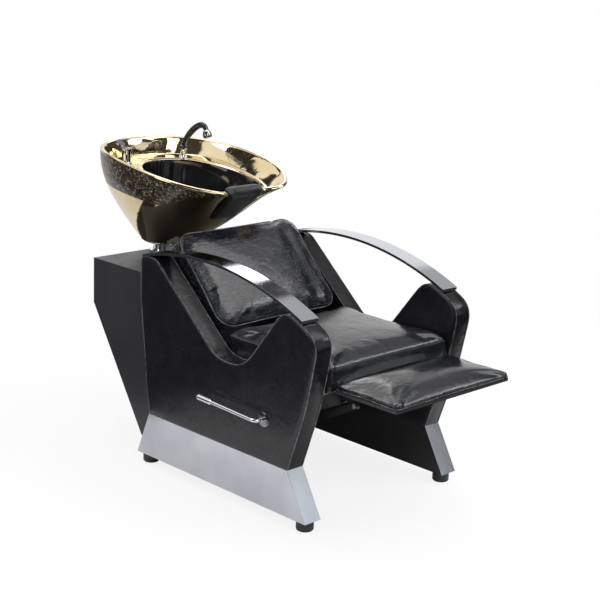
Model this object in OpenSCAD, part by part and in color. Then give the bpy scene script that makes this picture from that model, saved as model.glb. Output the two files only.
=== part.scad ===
// Salon backwash chair: upholstered seat with a fold-out leg rest, two arched
// armrests, a rear cabinet and a tilting ceramic shampoo bowl.
// Millimetres. X is the width, the sitter faces -Y, Z is up, the floor is z = 0.

/* [Overall] */
// Width over the two side panels
outer_w = 640; // [560:1:720]
// Thickness of an upholstered side panel
panel_t = 62; // [50:1:80]

/* [Base] */
// Height of the rubber feet
foot_h = 30; // [20:1:45]
// Diameter of a foot
foot_d = 50; // [36:1:56]
// Distance of a foot's centre from the skirt's end
foot_inset = 30; // [28:1:60]
// Height of the polished skirt
skirt_h = 135; // [110:1:160]
// Length of the skirt along the floor
skirt_l = 732; // [700:1:760]
// How far the skirt's front edge leans back
skirt_lean = 78; // [50:1:90]
// Thickness of the skirt's sheet
sheet_t = 1.5; // [1:0.1:3]

/* [Side panels] */
// How far the panel's front bulge reaches ahead of the centre
panel_reach = 388; // [378:1:400]
// Height of the knob under the arm's front end, above the skirt
knob_h = 451; // [440:1:465]
// Height of the valley between knob and back, above the skirt
valley_h = 245; // [225:1:265]
// Height of the panel's rear corner, above the skirt
panel_h = 483; // [470:1:500]
// Length of the panel's rear edge, behind the centre
panel_rear = 360; // [350:1:372]
// Diameter of the piping along the panel's edges
piping_d = 5; // [3:0.5:7]

/* [Armrests] */
// Thickness of the flat bar
arm_t = 8; // [5:0.5:12]
// Rise of the arch above the line between its ends
arm_rise = 61; // [50:1:75]
// Diameter of the weld studs under the bar
arm_stud_d = 8; // [6:1:10]

/* [Seat] */
// Height of the seat cushion's underside above the floor
seat_z = 388; // [380:1:400]
// Thickness of the seat cushion at its edge
seat_t = 80; // [60:1:90]
// How far the seat cushion's middle stands above its edge
seat_crown = 12; // [4:1:20]
// Front face of the seat cushion, ahead of the centre
seat_front = 369; // [360:1:371]
// Depth of the seat cushion
seat_l = 433; // [400:1:436]
// Gap between a cushion and a side panel
side_gap = 5; // [3:1:10]
// Thickness of the seat's plywood board
board_t = 18; // [12:1:22]

/* [Backrest] */
// Lean of the backrest from the vertical
back_lean = 43; // [40:1:45]
// Length of the backrest cushion along its lean
back_l = 335; // [310:1:350]
// Thickness of the backrest cushion
back_t = 66; // [50:1:72]
// Corner radius of the backrest cushion
back_r = 55; // [30:1:80]
// How far the backrest's middle stands out
back_crown = 22; // [8:1:28]

/* [Frame] */
// Side of the square steel crossbar
bar_s = 40; // [30:1:42]
// Wall of the steel tubes
tube_wall = 2; // [1.5:0.1:3]
// Diameter of the round bar behind the backrest
back_bar_d = 30; // [22:1:34]

/* [Leg rest] */
// Length of the leg rest pad
pad_l = 227; // [200:1:240]
// Width of the leg rest pad
pad_w = 480; // [420:1:490]
// Edge thickness of the pad
pad_t = 17; // [12:1:20]
// How far the pad's middle stands above its edge
pad_crown = 20; // [8:1:26]
// Thickness of the board under the pad
pad_board_t = 9; // [6:1:12]
// Diameter of the leg rest's hinge pin
hinge_d = 10; // [8:1:12]
// Distance between the two hinge brackets
hinge_span = 300; // [260:1:340]
// Length of the cranks that the pull link joins
crank_l = 50; // [44:1:54]

/* [Side lever] */
// Diameter of the lever's shaft
shaft_d = 14; // [10:1:16]
// Diameter of the lever's rod
rod_d = 11; // [8:1:14]
// Length of the lever from its shaft to the tip
lever_l = 243; // [200:1:260]
// Diameter of the lever's grip
grip_d = 18; // [15:1:24]
// Length of the lever's grip
grip_l = 58; // [40:1:90]
// Diameter of the round plate where the shaft leaves the panel
plate_d = 42; // [34:1:50]

/* [Cabinet] */
// Gap between the rear cabinet and a side panel
cab_gap = 16; // [12:1:40]
// Height of the cabinet's top above the floor
cab_h = 565; // [560:1:580]
// Rear face of the cabinet, behind the centre
cab_rear = 697; // [690:1:720]
// Height at which the rear face starts to slant forward
slant_z = 420; // [400:1:440]
// Thickness of the cabinet's boards
cab_t = 16; // [12:1:20]

/* [Bowl stand] */
// Distance of the stand's axis behind the centre
stand_y = 655; // [645:1:660]
// Diameter of the chrome post
post_d = 48; // [44:1:52]
// Height of the chrome post above the cabinet
post_h = 31; // [28:1:36]

/* [Bowl] */
// Half width of the bowl's rim
rim_a = 255; // [245:1:265]
// Half length of the bowl's rim
rim_b = 313; // [303:1:323]
// Height of the rim's middle above the cabinet
rim_h = 325; // [318:1:332]
// Slope of the rim toward the neck
rim_slope = 0.14; // [0.12:0.01:0.16]
// How far the neck notch is drawn in
notch_in = 80; // [70:1:88]
// Depth of the neck notch below the rim
notch_d = 10; // [6:1:14]
// Half width of the neck notch
notch_w = 92; // [86:1:98]
// Thickness of the rim
rim_t = 13; // [10:0.5:15]
// Height of the tap deck above the cabinet
deck_h = 293; // [288:1:297]
// Radius of the bowl's hollow foot
foot_ring_r = 53; // [51:1:60]

/* [Taps] */
// Diameter of the mixer's body
mixer_d = 30; // [28:1:36]
// Height of the mixer's body
mixer_h = 34; // [30:1:44]
// Height of the hand shower's holder
holder_h = 34; // [28:1:40]
// How far the hand shower can be pulled out
pull_out = 60; // [30:1:62]
// Diameter of the waste pipe
waste_d = 38; // [32:1:39]
// Diameter of the waste spigot under the cabinet
spigot_d = 40; // [38:1:42]
// Diameter of the water inlets' thread
inlet_d = 20.955; // [13:0.005:27]

/* [Hidden] */

// Fits between pieces
run_gap = 0.05; // radial gap of a pin or shaft that turns
slip_gap = 0.3; // gap between pieces that move past each other
bolt_gap = 0.5; // radial gap of a bolt in its hole

inner_x = outer_w / 2 - panel_t;
panel_mid = outer_w / 2 - panel_t / 2;
skirt_top = foot_h + skirt_h;
skirt_half = skirt_l / 2;
skirt_rear_lean = skirt_lean - 25;
foot_spread = skirt_l - 2 * foot_inset;
return_t = sheet_t * 1.2;
m8 = 8;
m8_hole = m8 + 2 * bolt_gap;
m6 = 6;
m6_hole = m6 + 2 * bolt_gap;

// Arm: a circular arc through its two ends
arm_front = [-panel_reach + 64, skirt_top + knob_h - 28];
arm_back = [panel_rear - 8, skirt_top + panel_h - 5];
arm_chord = norm(arm_back - arm_front);
arm_r = (pow(arm_chord / 2, 2) + pow(arm_rise, 2)) / (2 * arm_rise);
arm_dir = (arm_back - arm_front) / arm_chord;
arm_c = (arm_front + arm_back) / 2 + (arm_r - arm_rise) * [arm_dir[1], -arm_dir[0]];
stud_l = 34;
stud_pos = [arm_pos(arm_front[0] + 22), arm_pos(arm_back[0] - 12)];

// Leg rest hinge, lever and link
barrel_r = hinge_d / 2 + 4;
bracket_t = 5;
hinge = [-362, seat_z - 12];
lever_axis = [-192, skirt_top + 122];
crank_rest = 203;
crank_vec = crank_l * [cos(crank_rest), sin(crank_rest)];
hinge_pin = hinge + crank_vec;
lever_pin = lever_axis + crank_vec;
link_t = 5;
link_w = 20;
link_pin_d = 8;
lug_x = -hinge_span / 2;
arm_x = lug_x - bracket_t - 1;
link_x = lug_x - 40;
crank_x = link_x + link_t + 1;
rest_gap = 6;
pad_under = seat_z + 5;
bush_d = shaft_d + 6;
rod_x0 = -outer_w / 2 - 32;
rod_bend = 18;
shaft_end = rod_x0 + rod_bend;
lever_tilt = 2;

// Cross members
bar_y = -300;
rear_bar_y = 20;
bar_top = seat_z - board_t;
flange_w = 5;
bar_drop = 34;
bolt_z = bar_top - bar_s - bar_drop / 2;
bolt_in = 12;

// Backrest plane: a point on its lower front edge and its two directions
back_foot = [70, seat_z + seat_t + 4];
back_up = [sin(back_lean), cos(back_lean)];
back_in = [cos(back_lean), -sin(back_lean)];
back_board_t = 15;
back_w = 2 * (inner_x - side_gap - 8);
back_bar_off = back_t + back_board_t + back_bar_d / 2 + slip_gap;
back_bars = [for (up = [45, 250]) back_foot + up * back_up + back_bar_off * back_in];
back_bolt_r = 22.5;

// Cabinet
cab_front = 285;
cab_bottom = 40;
cab_w = 2 * (inner_x - cab_gap);
cab_in = cab_w / 2 - cab_t;
slant_foot = 445;
slant_dir = [cab_rear - slant_foot, slant_z - cab_bottom];
slant_a = atan2(slant_dir[1], slant_dir[0]);
slant_l = norm(slant_dir);
service_t = 6;
service_y = [20, slant_l - 17];
spacer_pos = [[310, 250], [318, 480]];
waste_y = 392;
waste_foot = 15;
inlet_x = 80;
inlet_foot = 18;

// Bowl stand and tilt hinge
post_r = post_d / 2;
post_wall = 4;
flange_t = 5;
flange_r = 40;
flange_bolt_r = 33;
foot_z = cab_h + post_h + 1;
tilt_z = foot_z + 20;
tilt_pin_d = 8;
ear_t = 4;
ear_x = 31;
mount_ear_x = ear_x + ear_t + 0.6;
foot_r = foot_ring_r - 8;
cup_z = foot_z + 43;
mount_t = 6;
mount_bolt_r = 37;

// Bowl form
bowl_n = 96;
rim_c = 503;
rim_z = cab_h + rim_h;
rim_taper = 0.01;
rim_sag = 0.055;
rim_e = 0.87;
side_profile = [0.05, 0.52, 1.05, 1];
neck_profile = [0.05, 0.55, 0.48, 1];
neck_blend = 1.4;
notch_foot = 5;
deck_z = cab_h + deck_h;
deck_fall = 50;
deck_bend = [300, 640];
deck = [190, 220, 790, 0.8, 0.12]; // half width, front, rear, roundness, taper
basin = [165, 242, 690, 1, -0.1];
basin_profile = [
  [0, 0], [0.01, 0.03], [0.06, 0.2], [0.15, 0.42],
  [0.29, 0.65], [0.5, 0.84], [0.76, 0.96], [1, 1]
];
floor_z = cup_z + 18;
drain_r = 25;
floor_r = drain_r + 10;
tail_r = 11;
rest_t = 17;
rest_edge_t = 2.5;
rest_gap_z = 0.6;
rest_spread = 15;
mixer_pos = [-122, 690];
handset_pos = [95, 668];
tap_hole_r = 11;
sleeve_r = 8;
sleeve_l = pull_out + 6;

// The frame's origin: middle of the whole outline, on the floor
tip_x = -rod_x0 + grip_d / 2;
rest_tip_y = seat_front + rest_gap + pad_l;
datum = [(tip_x - outer_w / 2) / 2, (rest_tip_y - rim_c - rim_b) / 2, 0];
module placed() {
  translate(datum) children();
}

function clamp(v, lo, hi) = min(hi, max(lo, v));
function lerp(a, b, t) = a + (b - a) * t;
function spow(v, e) = sign(v) * pow(abs(v), e);
function unit(v) = v / norm(v);
function arm_pos(y) = [y, arm_c[1] + sqrt(pow(arm_r, 2) - pow(y - arm_c[0], 2))];
function bez(k, t) =
  k[0] * pow(1 - t, 3) + 3 * k[1] * t * pow(1 - t, 2) + 3 * k[2] * t * t * (1 - t) + k[3] * pow(t, 3);

// Round the corners of a polygon given as [y, z, radius]
function corner(p, n) =
  let (k = len(p), a = p[(n + k - 1) % k], b = p[n], c = p[(n + 1) % k],
       u = unit([a[0] - b[0], a[1] - b[1]]), v = unit([c[0] - b[0], c[1] - b[1]]),
       half = acos(clamp(u * v, -1, 1)) / 2, r = b[2], d = r / tan(half),
       m = [b[0], b[1]] + unit(u + v) * (r / sin(half)),
       s = [b[0], b[1]] + u * d - m, e = [b[0], b[1]] + v * d - m,
       a0 = atan2(s[1], s[0]), a1 = atan2(e[1], e[0]),
       sweep = ((a1 - a0 + 540) % 360) - 180,
       steps = max(2, ceil(abs(sweep) / 7)))
  [for (i = [0:steps]) m + r * [cos(a0 + sweep * i / steps), sin(a0 + sweep * i / steps)]];
function rounded(p) = [for (n = [0:len(p) - 1]) each corner(p, n)];

// A closed form through a stack of rings; a thin, bent ring is capped as a strip
function side_faces(n, rings) = [
  for (k = [0:rings - 2], i = [0:n - 1])
    let (a = k * n + i, b = k * n + (i + 1) % n)
    each [[a, a + n, b + n], [a, b + n, b]]
];
function cap(n, strip) =
  strip ? [for (j = [0:n / 2 - 2]) [j, j + 1, n - 2 - j, n - 1 - j]] : [[for (i = [0:n - 1]) i]];
module skin(stack, strip = false) {
  n = len(stack[0]);
  last = n * (len(stack) - 1);
  polyhedron(
    [for (ring = stack) each ring],
    concat(side_faces(n, len(stack)), cap(n, strip),
      [for (f = cap(n, strip)) [for (i = [len(f) - 1:-1:0]) last + f[i]]]),
    convexity = 8
  );
}

// Draw a [y, z] outline as a plate from x0 with thickness t along +X
module plate_x(x0, t) {
  translate([x0, 0, 0]) rotate([90, 0, 90]) linear_extrude(t) children();
}
module rod_x(x0, x1, at, d) {
  translate([x0, at[0], at[1]]) rotate([0, 90, 0]) cylinder(d = d, h = x1 - x0, $fn = 48);
}
// A plate with two round ends
module strap(x0, t, a, b, d) {
  side = d / 2 * unit([a[1] - b[1], b[0] - a[0]]);
  plate_x(x0, t) polygon([a + side, b + side, b - side, a - side]);
  for (end = [a, b]) rod_x(x0, x0 + t, end, d);
}
module on_both_sides() {
  children();
  mirror([1, 0, 0]) children();
}

// Feet
module each_foot() {
  for (x = [-panel_mid, panel_mid], y = [-foot_spread / 2, foot_spread / 2])
    translate([x, y, 0]) children();
}
module foot_pads() {
  placed() color("#191919") each_foot() difference() {
    union() {
      cylinder(d1 = foot_d - 6, d2 = foot_d, h = 4, $fn = 64);
      translate([0, 0, 4]) cylinder(d = foot_d, h = foot_h - 8, $fn = 64);
      translate([0, 0, foot_h - 4]) cylinder(d1 = foot_d, d2 = foot_d - 8, h = 4, $fn = 64);
    }
    translate([0, 0, -1]) cylinder(d = 18, h = 9, $fn = 48);
    cylinder(d = m8_hole, h = foot_h + 1, $fn = 48);
  }
}
module foot_screws() {
  placed() color("#8d8f92") each_foot() {
    translate([0, 0, 3]) cylinder(d = 15, h = 5, $fn = 48);
    translate([0, 0, 8]) cylinder(d = m8, h = foot_h + 12, $fn = 48);
  }
}

// Base: a timber beam under each panel, wrapped in a polished skirt
function base_outline(in) = [
  [-skirt_half + in, foot_h], [skirt_half - in, foot_h],
  [skirt_half - skirt_rear_lean - in, skirt_top], [-skirt_half + skirt_lean + in, skirt_top]
];
module base_rail() {
  color("#141414") difference() {
    plate_x(-outer_w / 2 + sheet_t, panel_t - sheet_t) polygon(base_outline(return_t));
    for (y = [-foot_spread / 2, foot_spread / 2])
      translate([-panel_mid, y, foot_h - 1]) cylinder(d = m8_hole, h = 24, $fn = 48);
  }
}
module base_rail_right() {
  placed() base_rail();
}
module base_rail_left() {
  placed() mirror([1, 0, 0]) base_rail();
}
module skirt_return(side) {
  foot = side * skirt_half;
  head = side * (skirt_half - (side < 0 ? skirt_lean : skirt_rear_lean));
  plate_x(-outer_w / 2, panel_t) polygon([
    [foot, foot_h], [head, skirt_top], [head - side * return_t, skirt_top], [foot - side * return_t, foot_h]
  ]);
}
module skirt() {
  color("#c9ccd0") {
    plate_x(-outer_w / 2, sheet_t) polygon(base_outline(0));
    skirt_return(-1);
    skirt_return(1);
  }
}
module skirt_right() {
  placed() skirt();
}
module skirt_left() {
  placed() mirror([1, 0, 0]) skirt();
}

// Side panel: firm upholstered panel with piping along both edges
panel_corners = [
  [-skirt_half + skirt_lean, skirt_top, 4],
  [-skirt_half + skirt_lean - 60, skirt_top + 185, 260],
  [-panel_reach, skirt_top + knob_h - 64, 50],
  [-255, skirt_top + knob_h, 40],
  [-98, skirt_top + valley_h, 55],
  [12, skirt_top + valley_h + 1, 60],
  [288, skirt_top + panel_h, 40],
  [panel_rear, skirt_top + panel_h, 10],
  [panel_rear, skirt_top + panel_h - 128, 180],
  [skirt_half - skirt_rear_lean, skirt_top, 4]
];
panel_line = rounded(panel_corners);
function grow(p, g) = [
  for (i = [0:len(p) - 1])
    let (k = len(p), d = unit(p[(i + 1) % k] - p[(i + k - 1) % k])) p[i] + g * [-d[1], d[0]]
];
module under_arm(g) {
  intersection() {
    polygon(grow(panel_line, g));
    translate(arm_c) circle(r = arm_r, $fn = 720);
    translate([-2 * panel_reach, skirt_top]) square(4 * panel_reach);
  }
}
module side_panel(bored) {
  bead = piping_d / 3;
  color("#16171a") difference() {
    union() {
      plate_x(-outer_w / 2, panel_t) under_arm(0);
      for (x = [-outer_w / 2, -inner_x - piping_d]) plate_x(x, piping_d) under_arm(bead);
    }
    for (p = stud_pos) arm_stud(p, m8_hole, stud_l + 2);
    for (p = concat(bar_bolt_pos, back_bolt_pos, spacer_pos))
      rod_x(-inner_x - bolt_in - 1, -inner_x + 1, p, m8_hole);
    if (bored) rod_x(-outer_w / 2 - 1, -inner_x + 1, lever_axis, bush_d + 2 * slip_gap);
  }
}
module side_panel_right() {
  placed() side_panel(true);
}
module side_panel_left() {
  placed() mirror([1, 0, 0]) side_panel(false);
}

// Armrest: a flat bar bent to an arc, on two weld studs
module arm_stud(p, d, l) {
  a = atan2(p[0] - arm_c[0], p[1] - arm_c[1]);
  translate([-panel_mid, p[0], p[1]]) rotate([-a, 0, 0]) translate([0, 0, -l])
    cylinder(d = d, h = l + 1, $fn = 48);
}
module armrest() {
  color("#c4c7cb") {
    intersection() {
      plate_x(-outer_w / 2, panel_t) translate(arm_c) difference() {
        circle(r = arm_r + arm_t, $fn = 720);
        circle(r = arm_r, $fn = 720);
      }
      translate([-outer_w / 2 - 1, arm_front[0], skirt_top])
        cube([panel_t + 2, arm_back[0] - arm_front[0], panel_h + arm_rise + 90]);
    }
    for (p = stud_pos) arm_stud(p, arm_stud_d, stud_l);
  }
}
module armrest_right() {
  placed() armrest();
}
module armrest_left() {
  placed() mirror([1, 0, 0]) armrest();
}

// Cross members between the side panels
bar_bolt_pos = [for (y = [bar_y, rear_bar_y], s = [-1, 1]) [y + s * bar_s / 4, bolt_z]];
back_bolt_pos = [for (at = back_bars, s = [-1, 1]) at + s * back_bolt_r * back_up];
module square_bar(y) {
  color("#1c1c1e") {
    difference() {
      translate([-inner_x + flange_w, y - bar_s / 2, bar_top - bar_s])
        cube([2 * (inner_x - flange_w), bar_s, bar_s]);
      translate([-inner_x - 1, y - bar_s / 2 + tube_wall, bar_top - bar_s + tube_wall])
        cube([2 * inner_x + 2, bar_s - 2 * tube_wall, bar_s - 2 * tube_wall]);
    }
    on_both_sides() difference() {
      translate([-inner_x, y - bar_s / 2, bar_top - bar_s - bar_drop])
        cube([flange_w, bar_s, bar_s + bar_drop]);
      for (p = bar_bolt_pos) rod_x(-inner_x - 1, -inner_x + flange_w + 1, p, m8_hole);
    }
  }
}
module front_crossbar() {
  placed() square_bar(bar_y);
}
module rear_crossbar() {
  placed() square_bar(rear_bar_y);
}
module back_crossbars() {
  placed() color("#1c1c1e") for (at = back_bars) {
    difference() {
      rod_x(-inner_x + flange_w, inner_x - flange_w, at, back_bar_d);
      rod_x(-inner_x, inner_x, at, back_bar_d - 2 * tube_wall);
    }
    on_both_sides() difference() {
      strap(-inner_x, flange_w, at - back_bolt_r * back_up, at + back_bolt_r * back_up, back_bar_d);
      for (p = back_bolt_pos) rod_x(-inner_x - 1, -inner_x + flange_w + 1, p, m8_hole);
    }
  }
}
module crossbar_bolts() {
  placed() color("#9a9da1") on_both_sides() for (at = concat(bar_bolt_pos, back_bolt_pos)) {
    rod_x(-inner_x + flange_w, -inner_x + flange_w + 4, at, 13);
    rod_x(-inner_x - bolt_in, -inner_x + flange_w, at, m8);
  }
}

// Seat
module seat_board() {
  placed() color("#6f5a3f") translate([-inner_x + side_gap, bar_y - bar_s / 2, bar_top])
    cube([2 * (inner_x - side_gap), rear_bar_y - bar_y + bar_s, board_t]);
}

// Rounded rectangle ring whose sides are drawn in by `pull` between the corners
function soft_ring(w, l, r, pull) = [
  for (c = [[1, 1, 0], [-1, 1, 90], [-1, -1, 180], [1, -1, 270]])
    let (across = c[0] * c[1] > 0, x = c[0] * (w / 2 - r), y = c[1] * (l / 2 - r))
    each concat(
      [for (a = [0:18:90]) [x + r * cos(c[2] + a), y + r * sin(c[2] + a)]],
      [for (t = [0.25, 0.5, 0.75])
        let (dip = pull * sin(180 * t))
        across ? [lerp(x, -x, t), c[1] * (l / 2 - dip)] : [c[0] * (w / 2 - dip), lerp(y, -y, t)]]
    )
];
function at_height(ring, z, scale = 1) = [for (p = ring) [p[0] * scale, p[1] * scale, z]];

// Upholstered pad: flat base, sides drawn in between the corners, crowned top
module soft_pad(w, l, t, crown, r, edge, pull) {
  function inset(by, z, in) = at_height(soft_ring(w - 2 * by, l - 2 * by, max(r - by, 2), in), z);
  top_r = max(r - edge, 3);
  skin(concat(
    [inset(4, 0, -0.6), inset(1, 3, pull), inset(0, t * 0.45, pull)],
    [for (a = [20:22.5:66]) inset(edge * (1 - cos(a)), t - edge + edge * sin(a), pull)],
    [for (s = [1, 0.94, 0.86, 0.74, 0.58, 0.38, 0.12])
      at_height(soft_ring(w - 2 * edge, l - 2 * edge, top_r, s > 0.2 ? pull : -4),
        t + crown * pow(1 - s * s, 0.8), s)]
  ));
}
module seat_cushion() {
  placed() color("#17181b") translate([0, -seat_front + seat_l / 2, seat_z + slip_gap])
    soft_pad(2 * (inner_x - side_gap), seat_l, seat_t, seat_crown, 12, 14, 2);
}

// Backrest, drawn flat and then leaned back
module on_back(off) {
  translate([0, back_foot[0] + off * back_in[0], back_foot[1] + off * back_in[1]])
    rotate([90 - back_lean, 0, 0]) translate([0, back_l / 2, 0]) children();
}
module backrest_board() {
  placed() color("#6f5a3f") on_back(back_t + back_board_t) linear_extrude(back_board_t)
    polygon(rounded([for (c = [[-1, -1], [1, -1], [1, 1], [-1, 1]])
      [c[0] * (back_w / 2 - 8), c[1] * (back_l / 2 - 8), back_r - 8]]));
}
module backrest_cushion() {
  placed() color("#17181b") on_back(back_t - slip_gap)
    soft_pad(back_w, back_l, back_t, back_crown, back_r, 12, 3);
}

// Leg rest
module legrest_hinge_lugs() {
  face_y = bar_y - bar_s / 2;
  placed() color("#2a2a2d") for (x = [lug_x, -lug_x - bracket_t]) difference() {
    plate_x(x, bracket_t) polygon(concat(
      [for (a = [70:12:250]) hinge + barrel_r * [cos(a), sin(a)]],
      [[face_y, bar_top - bar_s], [face_y, bar_top - 2]]
    ));
    rod_x(x - 1, x + bracket_t + 1, hinge, hinge_d + 2 * run_gap);
  }
}
module hinge_pin_solid(x0, x1, head_x) {
  rod_x(x0, x1, hinge, hinge_d);
  rod_x(head_x, head_x + 5, hinge, hinge_d + 6);
}
module legrest_hinge_pins() {
  placed() color("#b9bcc0") {
    hinge_pin_solid(crank_x - 2, lug_x + bracket_t + 3, lug_x + bracket_t + slip_gap);
    hinge_pin_solid(-lug_x - bracket_t - 3, -arm_x + 3, -lug_x - bracket_t - 5 - slip_gap);
  }
}
module rest_arm() {
  plate_x(arm_x, bracket_t) polygon([
    hinge + [0, -barrel_r], [hinge[0] - 60, pad_under - 14], [hinge[0] - pad_l + 40, pad_under - 9],
    [hinge[0] - pad_l + 36, pad_under], [hinge[0] - barrel_r - 5, pad_under], hinge + [3, barrel_r]
  ]);
  rod_x(arm_x, arm_x + bracket_t, hinge, link_w);
  translate([arm_x, hinge[0] - pad_l + 42, pad_under - 3]) cube([20, pad_l - 62, 3]);
}
module crank(centre) {
  strap(crank_x, link_t, centre, centre + crank_vec, link_w);
}
module legrest_arms() {
  placed() color("#2a2a2d") {
    difference() {
      union() {
        rest_arm();
        rod_x(crank_x + link_t, arm_x, hinge, 2 * barrel_r);
        crank(hinge);
      }
      rod_x(crank_x - 1, arm_x + bracket_t + 1, hinge, hinge_d + 2 * run_gap);
      rod_x(crank_x - 1, crank_x + link_t + 1, hinge_pin, link_pin_d + 2 * slip_gap);
    }
    mirror([1, 0, 0]) difference() {
      rest_arm();
      rod_x(arm_x - 1, arm_x + bracket_t + 1, hinge, hinge_d + 2 * run_gap);
    }
  }
}
pad_front = -seat_front - rest_gap - pad_l;
module legrest_board() {
  placed() color("#6f5a3f") translate([-pad_w / 2 + 5, pad_front + 5, pad_under])
    cube([pad_w - 10, pad_l - 10, pad_board_t]);
}
module legrest_pad() {
  placed() color("#17181b") translate([0, pad_front + pad_l / 2, pad_under + pad_board_t + slip_gap])
    soft_pad(pad_w, pad_l, pad_t, pad_crown, 16, 7, 4);
}
module headed_pin(centre) {
  rod_x(link_x - slip_gap, crank_x + link_t, centre, link_pin_d);
  rod_x(link_x - 4, link_x - slip_gap, centre, link_pin_d + 6);
}
module link_pin() {
  placed() color("#b9bcc0") headed_pin(hinge_pin);
}
module pull_link() {
  placed() color("#8f9296") difference() {
    strap(link_x, link_t, hinge_pin, lever_pin, link_w);
    rod_x(link_x - 1, link_x + link_t + 1, hinge_pin, link_pin_d + 2 * run_gap);
    rod_x(link_x - 1, link_x + link_t + 1, lever_pin, link_pin_d + 2 * run_gap);
  }
}

// Side lever
module lever_shaft() {
  placed() color("#b9bcc0") {
    rod_x(shaft_end, crank_x + link_t, lever_axis, shaft_d);
    crank(lever_axis);
    headed_pin(lever_pin);
  }
}
module lever_bush_plate() {
  placed() color("#161616") difference() {
    union() {
      rod_x(-outer_w / 2 - 3, -outer_w / 2, lever_axis, plate_d);
      rod_x(-outer_w / 2 - 6, -outer_w / 2 - 3, lever_axis, plate_d - 8);
      rod_x(-outer_w / 2 - 1, -inner_x - 1, lever_axis, bush_d);
    }
    rod_x(-outer_w / 2 - 9, -inner_x + 1, lever_axis, shaft_d + 2 * run_gap);
  }
}
module lever_circlip() {
  placed() color("#6f7276") difference() {
    rod_x(-inner_x + slip_gap, -inner_x + 2, lever_axis, shaft_d + 8);
    rod_x(-inner_x, -inner_x + 3, lever_axis, shaft_d + 2 * run_gap);
  }
}
module on_lever() {
  translate([rod_x0, lever_axis[0], lever_axis[1]]) rotate([lever_tilt, 0, 0]) children();
}
rod_stop = 6;
module lever_rod() {
  placed() color("#c9ccd0") on_lever() {
    translate([rod_bend, rod_bend, 0]) rotate([0, 0, 180])
      rotate_extrude(angle = 90, $fn = 96) translate([rod_bend, 0]) circle(d = rod_d, $fn = 48);
    translate([0, rod_bend, 0]) rotate([-90, 0, 0])
      cylinder(d = rod_d, h = lever_l - rod_bend - rod_stop, $fn = 48);
  }
}
module lever_grip() {
  r = grip_d / 2;
  hole = rod_d / 2 + run_gap;
  depth = grip_l - rod_stop + slip_gap;
  placed() color("#d0d3d6") on_lever() translate([0, lever_l - grip_l, 0]) rotate([-90, 0, 0])
    rotate_extrude($fn = 96) polygon([
      [hole, 0], [r - 2, 0], [r, 2], [r, grip_l - 5], [r - 1.5, grip_l - 1.5],
      [r - 5, grip_l], [0, grip_l], [0, depth], [hole, depth]
    ]);
}

// Rear cabinet
module cabinet_side() {
  color("#26272a") difference() {
    plate_x(-cab_w / 2, cab_t) polygon([
      [cab_front, cab_bottom], [slant_foot, cab_bottom], [cab_rear, slant_z],
      [cab_rear, cab_h - cab_t], [cab_front, cab_h - cab_t]
    ]);
    for (p = spacer_pos) rod_x(-cab_w / 2 - 1, -cab_in + 1, p, m8_hole);
  }
}
module cabinet_side_right() {
  placed() cabinet_side();
}
module cabinet_side_left() {
  placed() mirror([1, 0, 0]) cabinet_side();
}
module cabinet_spacers() {
  placed() color("#1c1c1e") on_both_sides() for (p = spacer_pos) {
    rod_x(-inner_x - bolt_in, -inner_x, p, m8);
    rod_x(-inner_x, -cab_w / 2, p, 22);
    rod_x(-cab_w / 2, -cab_in, p, m8);
    rod_x(-cab_in, -cab_in + 5, p, 13);
  }
}
module cabinet_board(y, z, dy, dz) {
  translate([-cab_in, y, z]) cube([2 * cab_in, dy, dz]);
}
module cabinet_top() {
  placed() color("#303135") difference() {
    translate([-cab_w / 2, cab_front, cab_h - cab_t]) cube([cab_w, cab_rear - cab_front, cab_t]);
    translate([0, stand_y, cab_h - cab_t - 1]) cylinder(d = waste_d + 2, h = cab_t + 2, $fn = 64);
    each_flange_bolt() cylinder(d = m6_hole, h = 80, center = true, $fn = 32);
  }
}
module cabinet_front() {
  placed() color("#26272a") cabinet_board(cab_front, cab_bottom, cab_t, cab_h - cab_t - cab_bottom);
}
module cabinet_back() {
  placed() color("#26272a") cabinet_board(cab_rear - cab_t, slant_z, cab_t, cab_h - cab_t - slant_z);
}
module cabinet_floor() {
  placed() color("#26272a") difference() {
    cabinet_board(cab_front + cab_t, cab_bottom, slant_foot - cab_front - cab_t - 10, cab_t);
    translate([0, waste_y, cab_bottom - 1]) cylinder(d = waste_d + 2, h = cab_t + 2, $fn = 64);
    for (x = [-inlet_x, inlet_x])
      translate([x, waste_y, cab_bottom - 1]) cylinder(d = inlet_d + 1, h = cab_t + 2, $fn = 64);
  }
}
module on_slant() {
  translate([0, slant_foot, cab_bottom]) rotate([slant_a, 0, 0]) children();
}
module each_panel_screw() {
  for (x = [-cab_in + cab_t / 2, cab_in - cab_t / 2], t = [0.08, 0.5, 0.92])
    translate([x, lerp(service_y[0], service_y[1], t), 0]) children();
}
module service_panel() {
  placed() color("#202124") on_slant() difference() {
    translate([-cab_in, service_y[0], 0]) cube([2 * cab_in, service_y[1] - service_y[0], service_t]);
    each_panel_screw() cylinder(d = 5, h = 30, center = true, $fn = 32);
  }
}
module service_battens() {
  placed() color("#6f5a3f") on_slant() on_both_sides() difference() {
    translate([-cab_in, service_y[0] + 12, service_t])
      cube([cab_t, service_y[1] - service_y[0] - 26, cab_t]);
    each_panel_screw() cylinder(d = 5, h = 80, center = true, $fn = 32);
  }
}
module service_panel_screws() {
  placed() color("#b9bcc0") on_slant() each_panel_screw() {
    translate([0, 0, -2.5]) cylinder(d1 = 7, d2 = 10, h = 2.5, $fn = 48);
    cylinder(d = 4, h = 18, $fn = 32);
  }
}

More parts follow.
